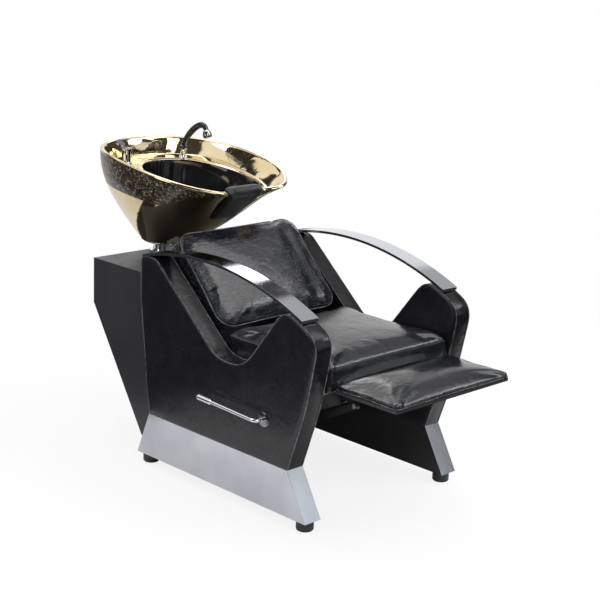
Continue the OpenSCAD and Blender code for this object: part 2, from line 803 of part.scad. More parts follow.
// Waste and water
module pipe_run(a, b, d) {
  translate([0, a[0], a[1]]) rotate([-atan2(b[0] - a[0], b[1] - a[1]), 0, 0])
    cylinder(d = d, h = norm(b - a), $fn = 64);
}
module waste_pipe() {
  top = [stand_y, foot_z + 3];
  knee = [stand_y, cab_h - 125];
  heel = [waste_y, 150];
  placed() color("#5b5d60") difference() {
    union() {
      pipe_run(knee, top, waste_d);
      pipe_run(heel, knee, waste_d);
      pipe_run([waste_y, waste_foot], heel, waste_d);
      pipe_run([waste_y, waste_foot], [waste_y, cab_bottom - 3], spigot_d);
      for (p = [knee, heel]) translate([0, p[0], p[1]]) sphere(d = waste_d + 6, $fn = 64);
    }
    pipe_run([stand_y, top[1] - 90], top + [0, 1], waste_d - 3);
    pipe_run([waste_y, waste_foot - 1], [waste_y, waste_foot + 60], waste_d - 4);
  }
}
module water_inlets() {
  nut_d = 30;
  placed() for (x = [-inlet_x, inlet_x]) color("#b08d3e") translate([x, waste_y, 0]) difference() {
    union() {
      translate([0, 0, inlet_foot]) cylinder(d = inlet_d, h = cab_t + cab_bottom, $fn = 64);
      translate([0, 0, cab_bottom - 5]) cylinder(d = nut_d, h = 5, $fn = 6);
      translate([0, 0, cab_bottom + cab_t]) cylinder(d = nut_d, h = 8, $fn = 6);
    }
    translate([0, 0, inlet_foot - 1]) cylinder(d = 13, h = cab_t + cab_bottom + 2, $fn = 48);
  }
}

// Bowl stand: a short post with a fork that the bowl tilts in
module each_flange_bolt() {
  for (a = [180:60:360])
    translate([flange_bolt_r * cos(a), stand_y + flange_bolt_r * sin(a), cab_h]) children();
}
module bowl_post() {
  yoke_z = cab_h + post_h - 5;
  placed() color("#c9ccd0") difference() {
    union() {
      translate([0, stand_y, cab_h]) cylinder(r = flange_r, h = flange_t, $fn = 96);
      translate([0, stand_y, cab_h]) cylinder(r = post_r, h = post_h, $fn = 96);
      translate([0, stand_y, yoke_z]) cylinder(r = ear_x + ear_t + 2, h = 5, $fn = 96);
      on_both_sides() {
        rod_x(ear_x, ear_x + ear_t, [stand_y, tilt_z], 20);
        translate([ear_x, stand_y - 10, yoke_z]) cube([ear_t, 20, tilt_z - yoke_z]);
      }
    }
    translate([0, stand_y, cab_h - 1]) cylinder(r = post_r - post_wall, h = post_h + 60, $fn = 96);
    rod_x(-ear_x - ear_t - 1, ear_x + ear_t + 1, [stand_y, tilt_z], tilt_pin_d + 2 * run_gap);
    each_flange_bolt() cylinder(d = m6_hole, h = 2 * flange_t + 1, center = true, $fn = 32);
  }
}
module post_bolts() {
  placed() color("#9a9da1") each_flange_bolt() {
    translate([0, 0, flange_t]) cylinder(d = 10, h = 4, $fn = 6);
    translate([0, 0, -cab_t - 4]) cylinder(d = m6, h = cab_t + 4 + flange_t, $fn = 32);
    translate([0, 0, -cab_t - 5]) cylinder(d = 11, h = 5, $fn = 6);
  }
}
module post_gussets() {
  foot = cab_h + flange_t;
  placed() color("#a9abae") for (side = [-1, 1]) plate_x(-3, 6) polygon([
    [stand_y + side * (post_r + slip_gap), foot], [stand_y + side * flange_r, foot],
    [stand_y + side * flange_r, foot + 3], [stand_y + side * (post_r + slip_gap), foot + post_h - 16]
  ]);
}
// Stop that the bowl's underside rests on, in front of the post
module bowl_buffer() {
  front = out_pt(270, 0.02);
  ring = foot_pt(270, foot_ring_r - 2, foot_z);
  placed() color("#a9abae") plate_x(-30, 60) polygon([
    [ring[1] - 4, cab_h], [lerp(ring[1], front[1], 0.4), lerp(ring[2], front[2], 0.4) - rest_gap_z],
    [front[1], front[2] - rest_gap_z], [front[1] - 22, cab_h]
  ]);
}
module tilt_pins() {
  placed() color("#8d9094") on_both_sides() {
    rod_x(ear_x - 1, mount_ear_x + ear_t + 1, [stand_y, tilt_z], tilt_pin_d);
    rod_x(ear_x - 4, ear_x - 1, [stand_y, tilt_z], tilt_pin_d + 4);
  }
}
module each_mount_bolt() {
  for (a = [60, 120, 240, 300])
    translate([mount_bolt_r * cos(a), stand_y + mount_bolt_r * sin(a), cup_z]) children();
}
module bowl_mount_plate() {
  placed() color("#8d9094") difference() {
    union() {
      translate([0, stand_y, cup_z - mount_t]) cylinder(r = foot_r - 1, h = mount_t, $fn = 96);
      on_both_sides() {
        rod_x(mount_ear_x, mount_ear_x + ear_t, [stand_y, tilt_z], 18);
        translate([mount_ear_x, stand_y - 9, tilt_z]) cube([ear_t, 18, cup_z - 1 - tilt_z]);
      }
    }
    translate([0, stand_y, cup_z - 10]) cylinder(r = 30, h = 20, $fn = 64);
    rod_x(-mount_ear_x - ear_t - 1, mount_ear_x + ear_t + 1, [stand_y, tilt_z], tilt_pin_d + 2 * run_gap);
    each_mount_bolt() cylinder(d = 5 + 2 * bolt_gap, h = 40, center = true, $fn = 32);
  }
}
module bowl_mount_bolts() {
  placed() color("#9a9da1") each_mount_bolt() {
    translate([0, 0, -mount_t - 4]) cylinder(d = 9, h = 4, $fn = 6);
    translate([0, 0, -mount_t]) cylinder(d = 5, h = mount_t + 11, $fn = 32);
  }
}

// Bowl: one skin from the hollow foot, up the outside, over the rim and down into the basin
function notch_share(t, x) = sin(t) < 0 ? exp(-pow(x / notch_w, 4)) : 0;
function rim_flat(t, in, drop) =
  let (a = rim_a - in, b = rim_b - in, s = sin(t), dy = b * spow(s, rim_e),
       x = a * spow(cos(t), rim_e) * (1 + rim_taper * s))
  [x, rim_c + dy, rim_z + rim_slope * dy - rim_sag * dy * dy / b - notch_d * notch_share(t, x) - drop];
function rim_pt(t, in, drop) =
  let (p = rim_flat(t, in, drop)) p + [0, notch_in * notch_share(t, p[0]), 0];
function foot_pt(t, r, z) = [r * cos(t), stand_y + r * sin(t), z];
function out_pt(t, v) =
  let (f = foot_pt(t, foot_ring_r, foot_z), r = rim_flat(t, 0, 7),
       w = lerp(bez(side_profile, v), bez(neck_profile, v), pow(max(0, -sin(t)), neck_blend)),
       pull = notch_in * notch_share(t, r[0]) * pow(v, notch_foot))
  [lerp(f[0], r[0], w), lerp(f[1], r[1], w) + pull, lerp(f[2], r[2], v)];
function deck_level(y) =
  deck_z - deck_fall * pow(max(0, (deck_bend[1] - y) / (deck_bend[1] - deck_bend[0])), 1.1);
function plan_pt(t, k) =
  let (x = k[0] * spow(cos(t), k[3]) * (1 + k[4] * sin(t)),
       y = lerp(k[1], k[2], (1 + spow(sin(t), k[3])) / 2) + notch_in * notch_share(t, x))
  [x, y, deck_level(y)];
function basin_pt(t, share, depth) =
  let (e = plan_pt(t, basin), f = foot_pt(t, floor_r, floor_z))
  [lerp(e[0], f[0], share), lerp(e[1], f[1], share), lerp(e[2], f[2], depth)];
function wall_pt(t, k) =
  let (r = rim_pt(t, rim_t, 5), d = plan_pt(t, deck))
  [lerp(r[0], d[0], pow(k, 0.8)), lerp(r[1], d[1], pow(k, 0.8)), lerp(r[2], d[2], k)];
function over_rim(t) = [
  for (v = [0.58, 0.72, 0.86, 1]) out_pt(t, v),
  rim_pt(t, 1, 3), rim_pt(t, 4, 0.5), rim_pt(t, 8, 0), rim_pt(t, rim_t - 1.5, 1.5),
  wall_pt(t, 0), wall_pt(t, 0.35), wall_pt(t, 0.7)
];
function bowl_line(t) = concat(
  [foot_pt(t, foot_r, cup_z), foot_pt(t, foot_r, foot_z), foot_pt(t, foot_ring_r - 2, foot_z)],
  [for (v = [0.02, 0.07, 0.14, 0.23, 0.33, 0.45]) out_pt(t, v)],
  over_rim(t),
  [wall_pt(t, 0.93), wall_pt(t, 1)],
  [for (p = basin_profile) basin_pt(t, p[0], p[1])]
);
module bowl() {
  lines = [for (i = [0:bowl_n - 1]) bowl_line(360 * i / bowl_n)];
  placed() color("#c9a24a") difference() {
    skin([for (k = [0:len(lines[0]) - 1]) [for (line = lines) line[k]]]);
    translate([0, stand_y, cup_z - 1]) cylinder(r = drain_r + slip_gap, h = floor_z - cup_z + 2, $fn = 64);
    for (p = [mixer_pos, handset_pos])
      translate([p[0], p[1], deck_z - 44]) cylinder(r = tap_hole_r, h = 60, $fn = 48);
    each_mount_bolt() cylinder(d = 5 + 2 * bolt_gap, h = 24, center = true, $fn = 32);
  }
}

// Neck rest: a rubber saddle laid over the notch, thick in the middle
function rim_normal(t, j) =
  let (d = 360 / bowl_n, p = over_rim(t), last = len(p) - 1,
       along = over_rim(t + d)[j] - over_rim(t - d)[j],
       across = p[min(j + 1, last)] - p[max(j - 1, 0)])
  unit(cross(along, across));
function rest_line(t) =
  let (p = over_rim(t), m = len(p) - 1, soft = 1 - pow(abs(t - 270) / rest_spread, 4))
  concat(
    [for (j = [0:m]) p[j] + rest_gap_z * rim_normal(t, j)],
    [for (j = [m:-1:0])
      p[j] + (rest_edge_t + (rest_t - rest_edge_t) * soft * pow(sin(180 * (j + 0.6) / (m + 1.2)), 0.6))
        * rim_normal(t, j)]
  );
module neck_rest() {
  placed() color("#1b1c1e")
    skin([for (t = [270 - rest_spread:360 / bowl_n:270 + rest_spread]) rest_line(t)], true);
}

// Waste fitting in the bowl's floor
module drain_waste() {
  seat = floor_z + rest_gap_z;
  placed() color("#c9ccd0") translate([0, stand_y, 0]) rotate_extrude($fn = 96) polygon([
    [tail_r - 2, foot_z], [tail_r, foot_z], [tail_r, cup_z + 4], [drain_r, cup_z + 8],
    [drain_r, seat], [drain_r + 9, seat], [drain_r + 7, seat + 2], [drain_r - 4, seat + 0.6],
    [drain_r - 4, floor_z - 4], [drain_r - 6, floor_z - 4], [drain_r - 6, cup_z + 10],
    [tail_r - 2, cup_z + 6]
  ]);
}
module drain_strainer() {
  placed() color("#d5d7d9") translate([0, stand_y, floor_z - 4]) difference() {
    cylinder(r = drain_r - 4 - slip_gap, h = 2, $fn = 64);
    for (a = [0:60:300]) rotate([0, 0, a]) translate([13, 0, -1]) cylinder(d = 5, h = 4, $fn = 24);
    for (a = [20:90:290]) rotate([0, 0, a]) translate([5.5, 0, -1]) cylinder(d = 4, h = 4, $fn = 24);
  }
}

// Mixer tap: body, turning cap and a lever that lifts in the cap's slot
mixer_r = mixer_d / 2;
lever_z = mixer_h + 9;
mixer_pin_d = 5;
cartridge_r = 10;
module at_mixer() {
  translate([mixer_pos[0], mixer_pos[1], deck_z]) children();
}
module mixer_body() {
  placed() color("#c9ccd0") at_mixer() difference() {
    union() {
      rotate_extrude($fn = 96) polygon([
        [0, slip_gap], [mixer_r + 4, slip_gap], [mixer_r + 4, 2], [mixer_r, 5], [mixer_r - 1, 9],
        [mixer_r - 1, mixer_h - 5], [mixer_r, mixer_h], [0, mixer_h]
      ]);
      translate([0, 0, -38]) cylinder(r = tap_hole_r - 1, h = 39, $fn = 48);
    }
    translate([0, 0, mixer_h - 14]) cylinder(r = cartridge_r + run_gap, h = 20, $fn = 64);
  }
}
module mixer_cartridge() {
  placed() color("#d8d8d4") at_mixer() difference() {
    union() {
      translate([0, 0, mixer_h - 14 + slip_gap]) cylinder(r = cartridge_r, h = 16, $fn = 64);
      translate([0, 0, mixer_h + slip_gap]) rotate_extrude($fn = 96) polygon([
        [0, 0], [mixer_r, 0], [mixer_r + 2.5, 8], [mixer_r + 3, 12], [mixer_r + 2.2, 14],
        [mixer_r, 15], [0, 15.5]
      ]);
    }
    translate([-5, -6, mixer_h + 3]) cube([10, 2 * mixer_r + 10, 30]);
    rod_x(-mixer_r - 5, mixer_r + 5, [0, lever_z], mixer_pin_d + 2 * run_gap);
  }
}
module mixer_lever() {
  placed() color("#c9ccd0") at_mixer() {
    rod_x(-13, 13, [0, lever_z], mixer_pin_d);
    rod_x(-4.5, 4.5, [0, lever_z], 10);
    translate([0, 0, lever_z]) rotate([28, 0, 0]) linear_extrude(7, center = true) polygon(rounded([
      [-4.5, 0, 1], [4.5, 0, 1], [4.5, 22, 3], [12, 27, 3],
      [12, 48, 7], [-12, 48, 7], [-12, 27, 3], [-4.5, 22, 3]
    ]));
  }
}

// Hand shower in its holder on the deck
module at_handset() {
  translate([handset_pos[0], handset_pos[1], deck_z]) children();
}
module handset_holder() {
  placed() color("#c9ccd0") at_handset() difference() {
    union() {
      rotate_extrude($fn = 96) polygon([
        [0, slip_gap], [16, slip_gap], [16, 3], [13, 6], [11.5, 12],
        [11.5, holder_h - 3], [13, holder_h], [0, holder_h]
      ]);
      translate([0, 0, -38]) cylinder(r = tap_hole_r - 1, h = 39, $fn = 48);
    }
    translate([0, 0, -39]) cylinder(r = sleeve_r + slip_gap, h = holder_h + 40, $fn = 64);
  }
}
collar_h = 9;
handle_y = [0, -24, -96, -112];
handle_z = [11, 58, 114, 72];
function handle_pt(u) = [0, bez(handle_y, u), holder_h + bez(handle_z, u)];
function handle_dir(u) = unit(handle_pt(u + 0.01) - handle_pt(u - 0.01));
function handle_r(u) = 8 + 2.5 * sin(180 * u);
module handset() {
  n = 12;
  steps = 22;
  placed() color("#161616") at_handset() {
    translate([0, 0, holder_h - sleeve_l]) cylinder(r = sleeve_r, h = sleeve_l + 1, $fn = 64);
    translate([0, 0, holder_h + slip_gap]) cylinder(r = 11.5, h = collar_h, $fn = 64);
    skin([for (s = [0:steps])
      let (u = s / steps, d = handle_dir(u), side = [0, d[2], -d[1]])
      [for (i = [0:n - 1])
        handle_pt(u) + handle_r(u) * (cos(360 * i / n) * [1, 0, 0] + sin(360 * i / n) * side)]]);
  }
}
module handset_head() {
  end = handle_pt(1);
  d = handle_dir(1);
  placed() color("#c9ccd0") at_handset() translate(end) rotate([atan2(d[2], d[1]) - 90, 0, 0])
    rotate_extrude($fn = 64) polygon([
      [0, 0], [9, 0], [12.5, 5], [14.5, 12], [14.5, 19], [13, 23], [11, 24], [0, 24]
    ]);
}

foot_pads();
foot_screws();
base_rail_right();
base_rail_left();
skirt_right();
skirt_left();
side_panel_right();
side_panel_left();
armrest_right();
armrest_left();
front_crossbar();
rear_crossbar();
back_crossbars();
crossbar_bolts();
seat_board();
seat_cushion();
backrest_board();
backrest_cushion();
legrest_hinge_lugs();
legrest_hinge_pins();
legrest_arms();
legrest_board();
legrest_pad();
pull_link();
link_pin();
lever_bush_plate();
lever_shaft();
lever_rod();
lever_grip();
lever_circlip();
cabinet_side_right();
cabinet_side_left();
cabinet_spacers();
cabinet_top();
cabinet_front();
cabinet_back();
cabinet_floor();
service_battens();
service_panel();
service_panel_screws();
waste_pipe();
water_inlets();
bowl_post();
post_bolts();
post_gussets();
bowl_buffer();
tilt_pins();
bowl_mount_plate();
bowl_mount_bolts();
bowl();
neck_rest();
drain_waste();
drain_strainer();
mixer_body();
mixer_cartridge();
mixer_lever();
handset_holder();
handset();
handset_head();
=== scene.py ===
import math

import bmesh
import bpy
import numpy as np
from mathutils import Matrix, Vector, geometry, noise
from mathutils.bvhtree import BVHTree


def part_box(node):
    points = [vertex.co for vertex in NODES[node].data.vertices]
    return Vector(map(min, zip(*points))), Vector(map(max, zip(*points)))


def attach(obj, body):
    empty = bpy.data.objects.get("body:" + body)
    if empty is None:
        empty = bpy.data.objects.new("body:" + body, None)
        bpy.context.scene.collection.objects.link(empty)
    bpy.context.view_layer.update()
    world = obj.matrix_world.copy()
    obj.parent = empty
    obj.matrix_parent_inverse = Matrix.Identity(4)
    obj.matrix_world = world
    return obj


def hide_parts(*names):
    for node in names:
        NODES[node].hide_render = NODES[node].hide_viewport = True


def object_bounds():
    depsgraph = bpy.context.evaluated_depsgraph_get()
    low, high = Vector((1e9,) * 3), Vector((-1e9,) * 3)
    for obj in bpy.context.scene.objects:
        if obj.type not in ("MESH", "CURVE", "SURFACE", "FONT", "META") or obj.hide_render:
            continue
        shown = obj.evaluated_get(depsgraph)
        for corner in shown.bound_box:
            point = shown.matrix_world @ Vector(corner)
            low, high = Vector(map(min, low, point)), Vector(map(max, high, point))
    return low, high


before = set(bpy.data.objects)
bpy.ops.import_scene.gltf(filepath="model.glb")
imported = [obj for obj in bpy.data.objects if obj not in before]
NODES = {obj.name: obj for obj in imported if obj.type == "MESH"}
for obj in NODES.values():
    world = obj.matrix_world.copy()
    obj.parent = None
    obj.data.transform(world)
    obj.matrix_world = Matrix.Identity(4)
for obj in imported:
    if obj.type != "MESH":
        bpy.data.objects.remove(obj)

CAD_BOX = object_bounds()
SCENE = bpy.context.scene

# Places taken from the frame, in metres
MID_X = sum(c.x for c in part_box("seat_board")) / 2
MID_Y = sum(c.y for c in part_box("skirt_right")) / 2
STAND_Y = sum(c.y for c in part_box("bowl_post")) / 2
SKIRT_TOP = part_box("skirt_right")[1].z
CABINET_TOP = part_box("cabinet_top")[1].z

# Camera of the photograph
CAMERA_AZIMUTH = math.radians(-45)
CAMERA_ELEVATION = math.radians(14.61)
CAMERA_ROLL = math.radians(2.29)
CAMERA_PLACE = Vector((MID_X - 2.88478, MID_Y - 2.87792, 1.59863))
CAMERA_LENS = 85.36

# Side panels
PIPING_R = 0.0015
PANEL_PUFF = 0.0035
PANEL_CUT = 0.3
SEAM_IN = 0.6 * PANEL_PUFF
OUTLINE_STEP = 0.005
FACE_STEP = 0.014
FACE_SWELL = 0.0006
FACE_INSETS = (0.002, 0.005, 0.010, 0.017)
FACE_MARGINS = (0.0018, 0.0046, 0.0092, 0.0155, 0.024)
BAND_PUFF = 0.0025
BAND_SHARES = (0.06, 0.2, 0.4, 0.6, 0.8, 0.94)
BAND_CREASE = 0.0005
BAND_SINK = 0.0012
PEAK_ROUNDS = 4
KNOB_ROUNDS = 28
VALLEY_ROUNDS = 36
VALLEY_REACH = 7

# Cushions
CLOTH_PRESSURE = 4
CLOTH_STEPS = 20
BACK_LEAN = math.radians(43)
BACK_FOOT = Vector((MID_X, MID_Y + 0.070, 0.472))
BACK_LENGTH = 0.335
BACK_THICKNESS = 0.066
BACK_CORNER = 0.055
FOLD_X = 0.160
FOLD_WIDTH = 0.024
FOLD_DEPTH = 0.0045

# Bowl: rim, notch, deck, foot and outlines as in its solid
RIM_A = 0.255
RIM_B = 0.313
RIM_C = MID_Y + 0.503
RIM_Z = CABINET_TOP + 0.325
RIM_SLOPE = 0.14
RIM_TAPER = 0.01
RIM_SAG = 0.055
RIM_POWER = 0.87
RIM_T = 0.013
NOTCH_IN = 0.080
NOTCH_DEPTH = 0.010
NOTCH_WIDTH = 0.092
NOTCH_FOOT = 5
DECK_Z = CABINET_TOP + 0.293
DECK_FALL = 0.050
DECK_BEND = (MID_Y + 0.300, MID_Y + 0.640)
DECK = (0.190, MID_Y + 0.220, MID_Y + 0.790, 0.8, 0.12)
BASIN = (0.165, MID_Y + 0.242, MID_Y + 0.690, 1, -0.1)
BASIN_PROFILE = [
    (0, 0), (0.02, 0.03), (0.10, 0.2), (0.20, 0.42),
    (0.34, 0.65), (0.54, 0.84), (0.78, 0.96), (1, 1),
]
DECK_RIDGE = [(0.5, 0), (0.72, 0), (0.80, 0.0035), (0.88, 0.0035), (0.95, 0)]
SIDE_PROFILE = (0.05, 0.52, 1.05, 1)
NECK_PROFILE = (0.05, 0.55, 0.48, 1)
NECK_BLEND = 1.4
FOOT_Z = CABINET_TOP + 0.032
CUP_Z = FOOT_Z + 0.043
FLOOR_Z = CUP_Z + 0.018
FOOT_RING_R = 0.053
FOOT_R = FOOT_RING_R - 0.008
FLOOR_R = 0.035
DRAIN_R = 0.0253
BOWL_STEPS = 96
BAND_LOW = 0.67
BAND_RISE = 0.29

# Widths of the eased edges
SHEET_EASE = 0.0006
BAR_EASE = 0.0012
BOARD_EASE = 0.0012
TOP_EASE = 0.0015

WELD = 1e-5


def link(obj):
    SCENE.collection.objects.link(obj)
    return obj


def add_camera():
    data = bpy.data.cameras.new("camera")
    data.lens = CAMERA_LENS
    data.sensor_width = 36
    camera = link(bpy.data.objects.new("camera", data))
    a, e, r = CAMERA_AZIMUTH, CAMERA_ELEVATION, CAMERA_ROLL
    back = Vector((math.sin(a) * math.cos(e), -math.cos(a) * math.cos(e), math.sin(e)))
    level = Vector((math.cos(a), math.sin(a), 0))
    upright = back.cross(level)
    right = math.cos(r) * level + math.sin(r) * upright
    up = math.cos(r) * upright - math.sin(r) * level
    turn = Matrix((right, up, back)).transposed().to_4x4()
    camera.matrix_world = Matrix.Translation(CAMERA_PLACE) @ turn
    SCENE.camera = camera


add_camera()


# Shader helpers
class Shader:
    """A material with a Principled shader and short calls for the nodes that feed it."""

    def __init__(self, name, color, roughness, metallic=0.0, **sockets):
        self.material = bpy.data.materials.new(name)
        self.material.use_nodes = True
        self.tree = self.material.node_tree
        self.principled = self.tree.nodes["Principled BSDF"]
        self.put("Base Color", (*color, 1))
        self.put("Roughness", roughness)
        self.put("Metallic", metallic)
        for socket, value in sockets.items():
            self.put(socket.replace("_", " "), value)
        self.place = self.node("ShaderNodeTexCoord").outputs["Object"]
        self.height = None

    def node(self, kind, **values):
        made = self.tree.nodes.new(kind)
        for key, value in values.items():
            setattr(made, key, value)
        return made

    def wire(self, source, target):
        self.tree.links.new(source, target)

    def put(self, socket, value):
        self.principled.inputs[socket].default_value = value

    def stretched(self, scale):
        mapping = self.node("ShaderNodeMapping")
        mapping.inputs["Scale"].default_value = scale
        self.wire(self.place, mapping.inputs["Vector"])
        return mapping.outputs["Vector"]

    def noise(self, scale, detail=4.0, rough=0.55, distort=0.0, at=None):
        made = self.node("ShaderNodeTexNoise")
        made.inputs["Scale"].default_value = scale
        made.inputs["Detail"].default_value = detail
        made.inputs["Roughness"].default_value = rough
        made.inputs["Distortion"].default_value = distort
        self.wire(at or self.place, made.inputs["Vector"])
        return made.outputs["Fac"]

    def cells(self, scale, feature="F1"):
        made = self.node("ShaderNodeTexVoronoi", feature=feature)
        made.inputs["Scale"].default_value = scale
        self.wire(self.place, made.inputs["Vector"])
        return made.outputs["Distance"]

    def ramp(self, source, stops):
        made = self.node("ShaderNodeValToRGB")
        elements = made.color_ramp.elements
        while len(elements) < len(stops):
            elements.new(0.5)
        for element, (position, value) in zip(elements, stops):
            element.position = position
            element.color = (value, value, value, 1) if isinstance(value, (int, float)) else (*value, 1)
        self.wire(source, made.inputs["Fac"])
        return made.outputs["Color"]

    def mixed(self, factor, first, second):
        made = self.node("ShaderNodeMix", data_type="RGBA")
        for key, value in ((0, factor), (6, first), (7, second)):
            if isinstance(value, bpy.types.NodeSocket):
                self.wire(value, made.inputs[key])
            else:
                made.inputs[key].default_value = value if key == 0 else (*value, 1)
        return made.outputs[2]

    def color(self, source):
        self.wire(source, self.principled.inputs["Base Color"])

    def roughness(self, source):
        self.wire(source, self.principled.inputs["Roughness"])

    def bump(self, source, depth):
        made = self.node("ShaderNodeBump")
        made.inputs["Strength"].default_value = 1.0
        made.inputs["Distance"].default_value = depth
        self.wire(source, made.inputs["Height"])
        if self.height is not None:
            self.wire(self.height, made.inputs["Normal"])
        self.height = made.outputs["Normal"]
        self.wire(self.height, self.principled.inputs["Normal"])


# Materials
def vinyl(name, tint=(0.0060, 0.0064, 0.0080), gloss=(0.13, 0.26), creases=1.0, shine=0.46):
    s = Shader(name, tint, 0.2, Specular_IOR_Level=shine, Coat_Weight=0.1, Coat_Roughness=0.1)
    cloud = s.noise(9, 6, 0.66, 0.6)
    wear = s.noise(38, 4, 0.6, 0.8)
    scuffs = s.noise(120, 2.5, 0.5, 1.6, s.stretched((0.2, 1, 1)))
    ground = s.ramp(wear, [(0.3, tuple(0.7 * c for c in tint)), (0.72, tuple(1.6 * c for c in tint))])
    pale = tuple((1 + 5 * creases) * c for c in tint)
    s.color(s.mixed(s.ramp(scuffs, [(0.50, 0.0), (0.70, 1.0)]), ground, pale))
    s.roughness(s.ramp(cloud, [(0.3, gloss[0]), (0.7, gloss[1])]))
    s.bump(s.cells(560, "DISTANCE_TO_EDGE"), 0.00006)
    s.bump(scuffs, 0.0005 * creases)
    s.bump(s.noise(36, 3, 0.5, 1.2, s.stretched((0.5, 1, 1))), 0.0016 * creases)
    s.bump(s.noise(18, 3, 0.5, 0.8), 0.0018 * min(1, 2 * creases))
    return s.material


def piping_cord():
    s = Shader("piping", (0.09, 0.09, 0.1), 0.3)
    s.color(s.ramp(s.noise(60), [(0.35, (0.014, 0.014, 0.017)), (0.7, (0.16, 0.16, 0.17))]))
    s.bump(s.noise(400, 2), 0.0001)
    return s.material


def polished_steel():
    s = Shader("polished_steel", (0.60, 0.60, 0.65), 0.2, 1.0)
    lines = s.noise(60, 3, 0.5, 0, s.stretched((40, 1, 40)))
    s.roughness(s.ramp(lines, [(0.3, 0.17), (0.7, 0.27)]))
    s.color(s.ramp(s.noise(7, 3), [(0.35, (0.55, 0.55, 0.60)), (0.65, (0.66, 0.66, 0.70))]))
    s.bump(lines, 0.00002)
    s.bump(s.noise(9, 2), 0.0005)
    return s.material


def arm_steel():
    s = Shader("arm_steel", (0.60, 0.61, 0.65), 0.2, 1.0)
    lines = s.noise(90, 3, 0.5, 0, s.stretched((1, 30, 30)))
    s.roughness(s.ramp(lines, [(0.3, 0.06), (0.7, 0.13)]))
    s.bump(lines, 0.00002)
    return s.material


def chrome(name="chrome", tint=(0.78, 0.79, 0.81), rough=0.06):
    s = Shader(name, tint, rough, 1.0)
    s.roughness(s.ramp(s.noise(35, 4), [(0.3, rough), (0.75, rough + 0.07)]))
    s.bump(s.noise(14, 2), 0.0003)
    return s.material


def gold_glaze():
    s = Shader("gold_glaze", (0.70, 0.57, 0.36), 0.06, 1.0)
    s.color(s.ramp(s.noise(6, 3, 0.5, 0.5), [(0.3, (0.58, 0.45, 0.25)), (0.7, (0.76, 0.65, 0.45))]))
    s.roughness(s.ramp(s.noise(25, 4), [(0.3, 0.04), (0.8, 0.11)]))
    s.bump(s.noise(11, 3, 0.5, 0.6), 0.0016)
    s.bump(s.noise(90, 2), 0.00006)
    return s.material


def black_glaze():
    s = Shader("black_glaze", (0.006, 0.006, 0.007), 0.07, Coat_Weight=0.6, Coat_Roughness=0.03)
    s.roughness(s.ramp(s.noise(20, 4), [(0.3, 0.05), (0.8, 0.12)]))
    s.color(s.ramp(s.noise(12, 3), [(0.3, (0.004, 0.004, 0.005)), (0.8, (0.010, 0.010, 0.012))]))
    s.bump(s.noise(10, 2), 0.0007)
    return s.material


def speckled_glaze():
    s = Shader("speckled_glaze", (0.01, 0.009, 0.01), 0.26, Specular_IOR_Level=0.36, Coat_Weight=0.12,
               Coat_Roughness=0.14)
    blotches = s.ramp(s.noise(95, 7, 0.78, 0.5), [(0.515, 0.0), (0.57, 1.0)])
    flecks = s.ramp(s.cells(300), [(0.14, 0.7), (0.26, 0.0)])
    clusters = s.ramp(s.noise(17, 4, 0.62), [(0.30, 0.15), (0.45, 1.0)])
    hue = s.noise(130, 3)
    bronze = s.ramp(hue, [
        (0.35, (0.055, 0.036, 0.016)), (0.52, (0.20, 0.15, 0.07)), (0.68, (0.38, 0.34, 0.27)),
    ])
    ground = s.ramp(s.noise(40, 4), [(0.3, (0.004, 0.004, 0.005)), (0.75, (0.022, 0.017, 0.017))])
    both = s.node("ShaderNodeMath", operation="MAXIMUM")
    s.wire(blotches, both.inputs[0])
    s.wire(flecks, both.inputs[1])
    masked = s.node("ShaderNodeMath", operation="MULTIPLY")
    s.wire(both.outputs[0], masked.inputs[0])
    s.wire(clusters, masked.inputs[1])
    s.color(s.mixed(masked.outputs[0], ground, bronze))
    s.bump(s.noise(12, 2), 0.0006)
    return s.material


def rubber(name="rubber", tint=(0.020, 0.020, 0.021), rough=0.5):
    s = Shader(name, tint, rough, Sheen_Weight=0.06, Sheen_Roughness=0.4)
    s.roughness(s.ramp(s.noise(40, 4), [(0.3, rough - 0.08), (0.7, rough + 0.1)]))
    deep, pale = tuple(0.8 * c for c in tint), tuple(1.3 * c for c in tint)
    s.color(s.ramp(s.noise(30, 5), [(0.3, deep), (0.7, pale)]))
    s.bump(s.noise(700, 3), 0.00008)
    return s.material


def laminate():
    s = Shader("cabinet_laminate", (0.016, 0.016, 0.018), 0.42)
    s.roughness(s.ramp(s.noise(16, 5, 0.6), [(0.3, 0.36), (0.7, 0.46)]))
    s.color(s.ramp(s.noise(5, 3), [(0.3, (0.021, 0.021, 0.024)), (0.7, (0.030, 0.030, 0.034))]))
    s.bump(s.noise(900, 2), 0.00004)
    return s.material


def black_coat():
    s = Shader("black_coat", (0.016, 0.016, 0.018), 0.42)
    s.roughness(s.ramp(s.noise(30, 5), [(0.3, 0.34), (0.7, 0.5)]))
    s.bump(s.noise(500, 4), 0.00008)
    return s.material


def grey_paint():
    s = Shader("grey_paint", (0.34, 0.35, 0.36), 0.38, 0.4)
    s.color(s.ramp(s.noise(50, 4), [(0.3, (0.28, 0.29, 0.30)), (0.7, (0.40, 0.41, 0.42))]))
    s.bump(s.noise(400, 3), 0.00008)
    return s.material


def zinc():
    s = Shader("zinc", (0.55, 0.56, 0.57), 0.32, 1.0)
    s.roughness(s.ramp(s.noise(150, 4), [(0.3, 0.25), (0.7, 0.42)]))
    s.color(s.ramp(s.cells(260), [(0.1, (0.50, 0.51, 0.52)), (0.6, (0.64, 0.65, 0.66))]))
    return s.material


def brass():
    s = Shader("brass", (0.62, 0.46, 0.2), 0.28, 1.0)
    s.roughness(s.ramp(s.noise(180, 4), [(0.3, 0.2), (0.7, 0.36)]))
    return s.material


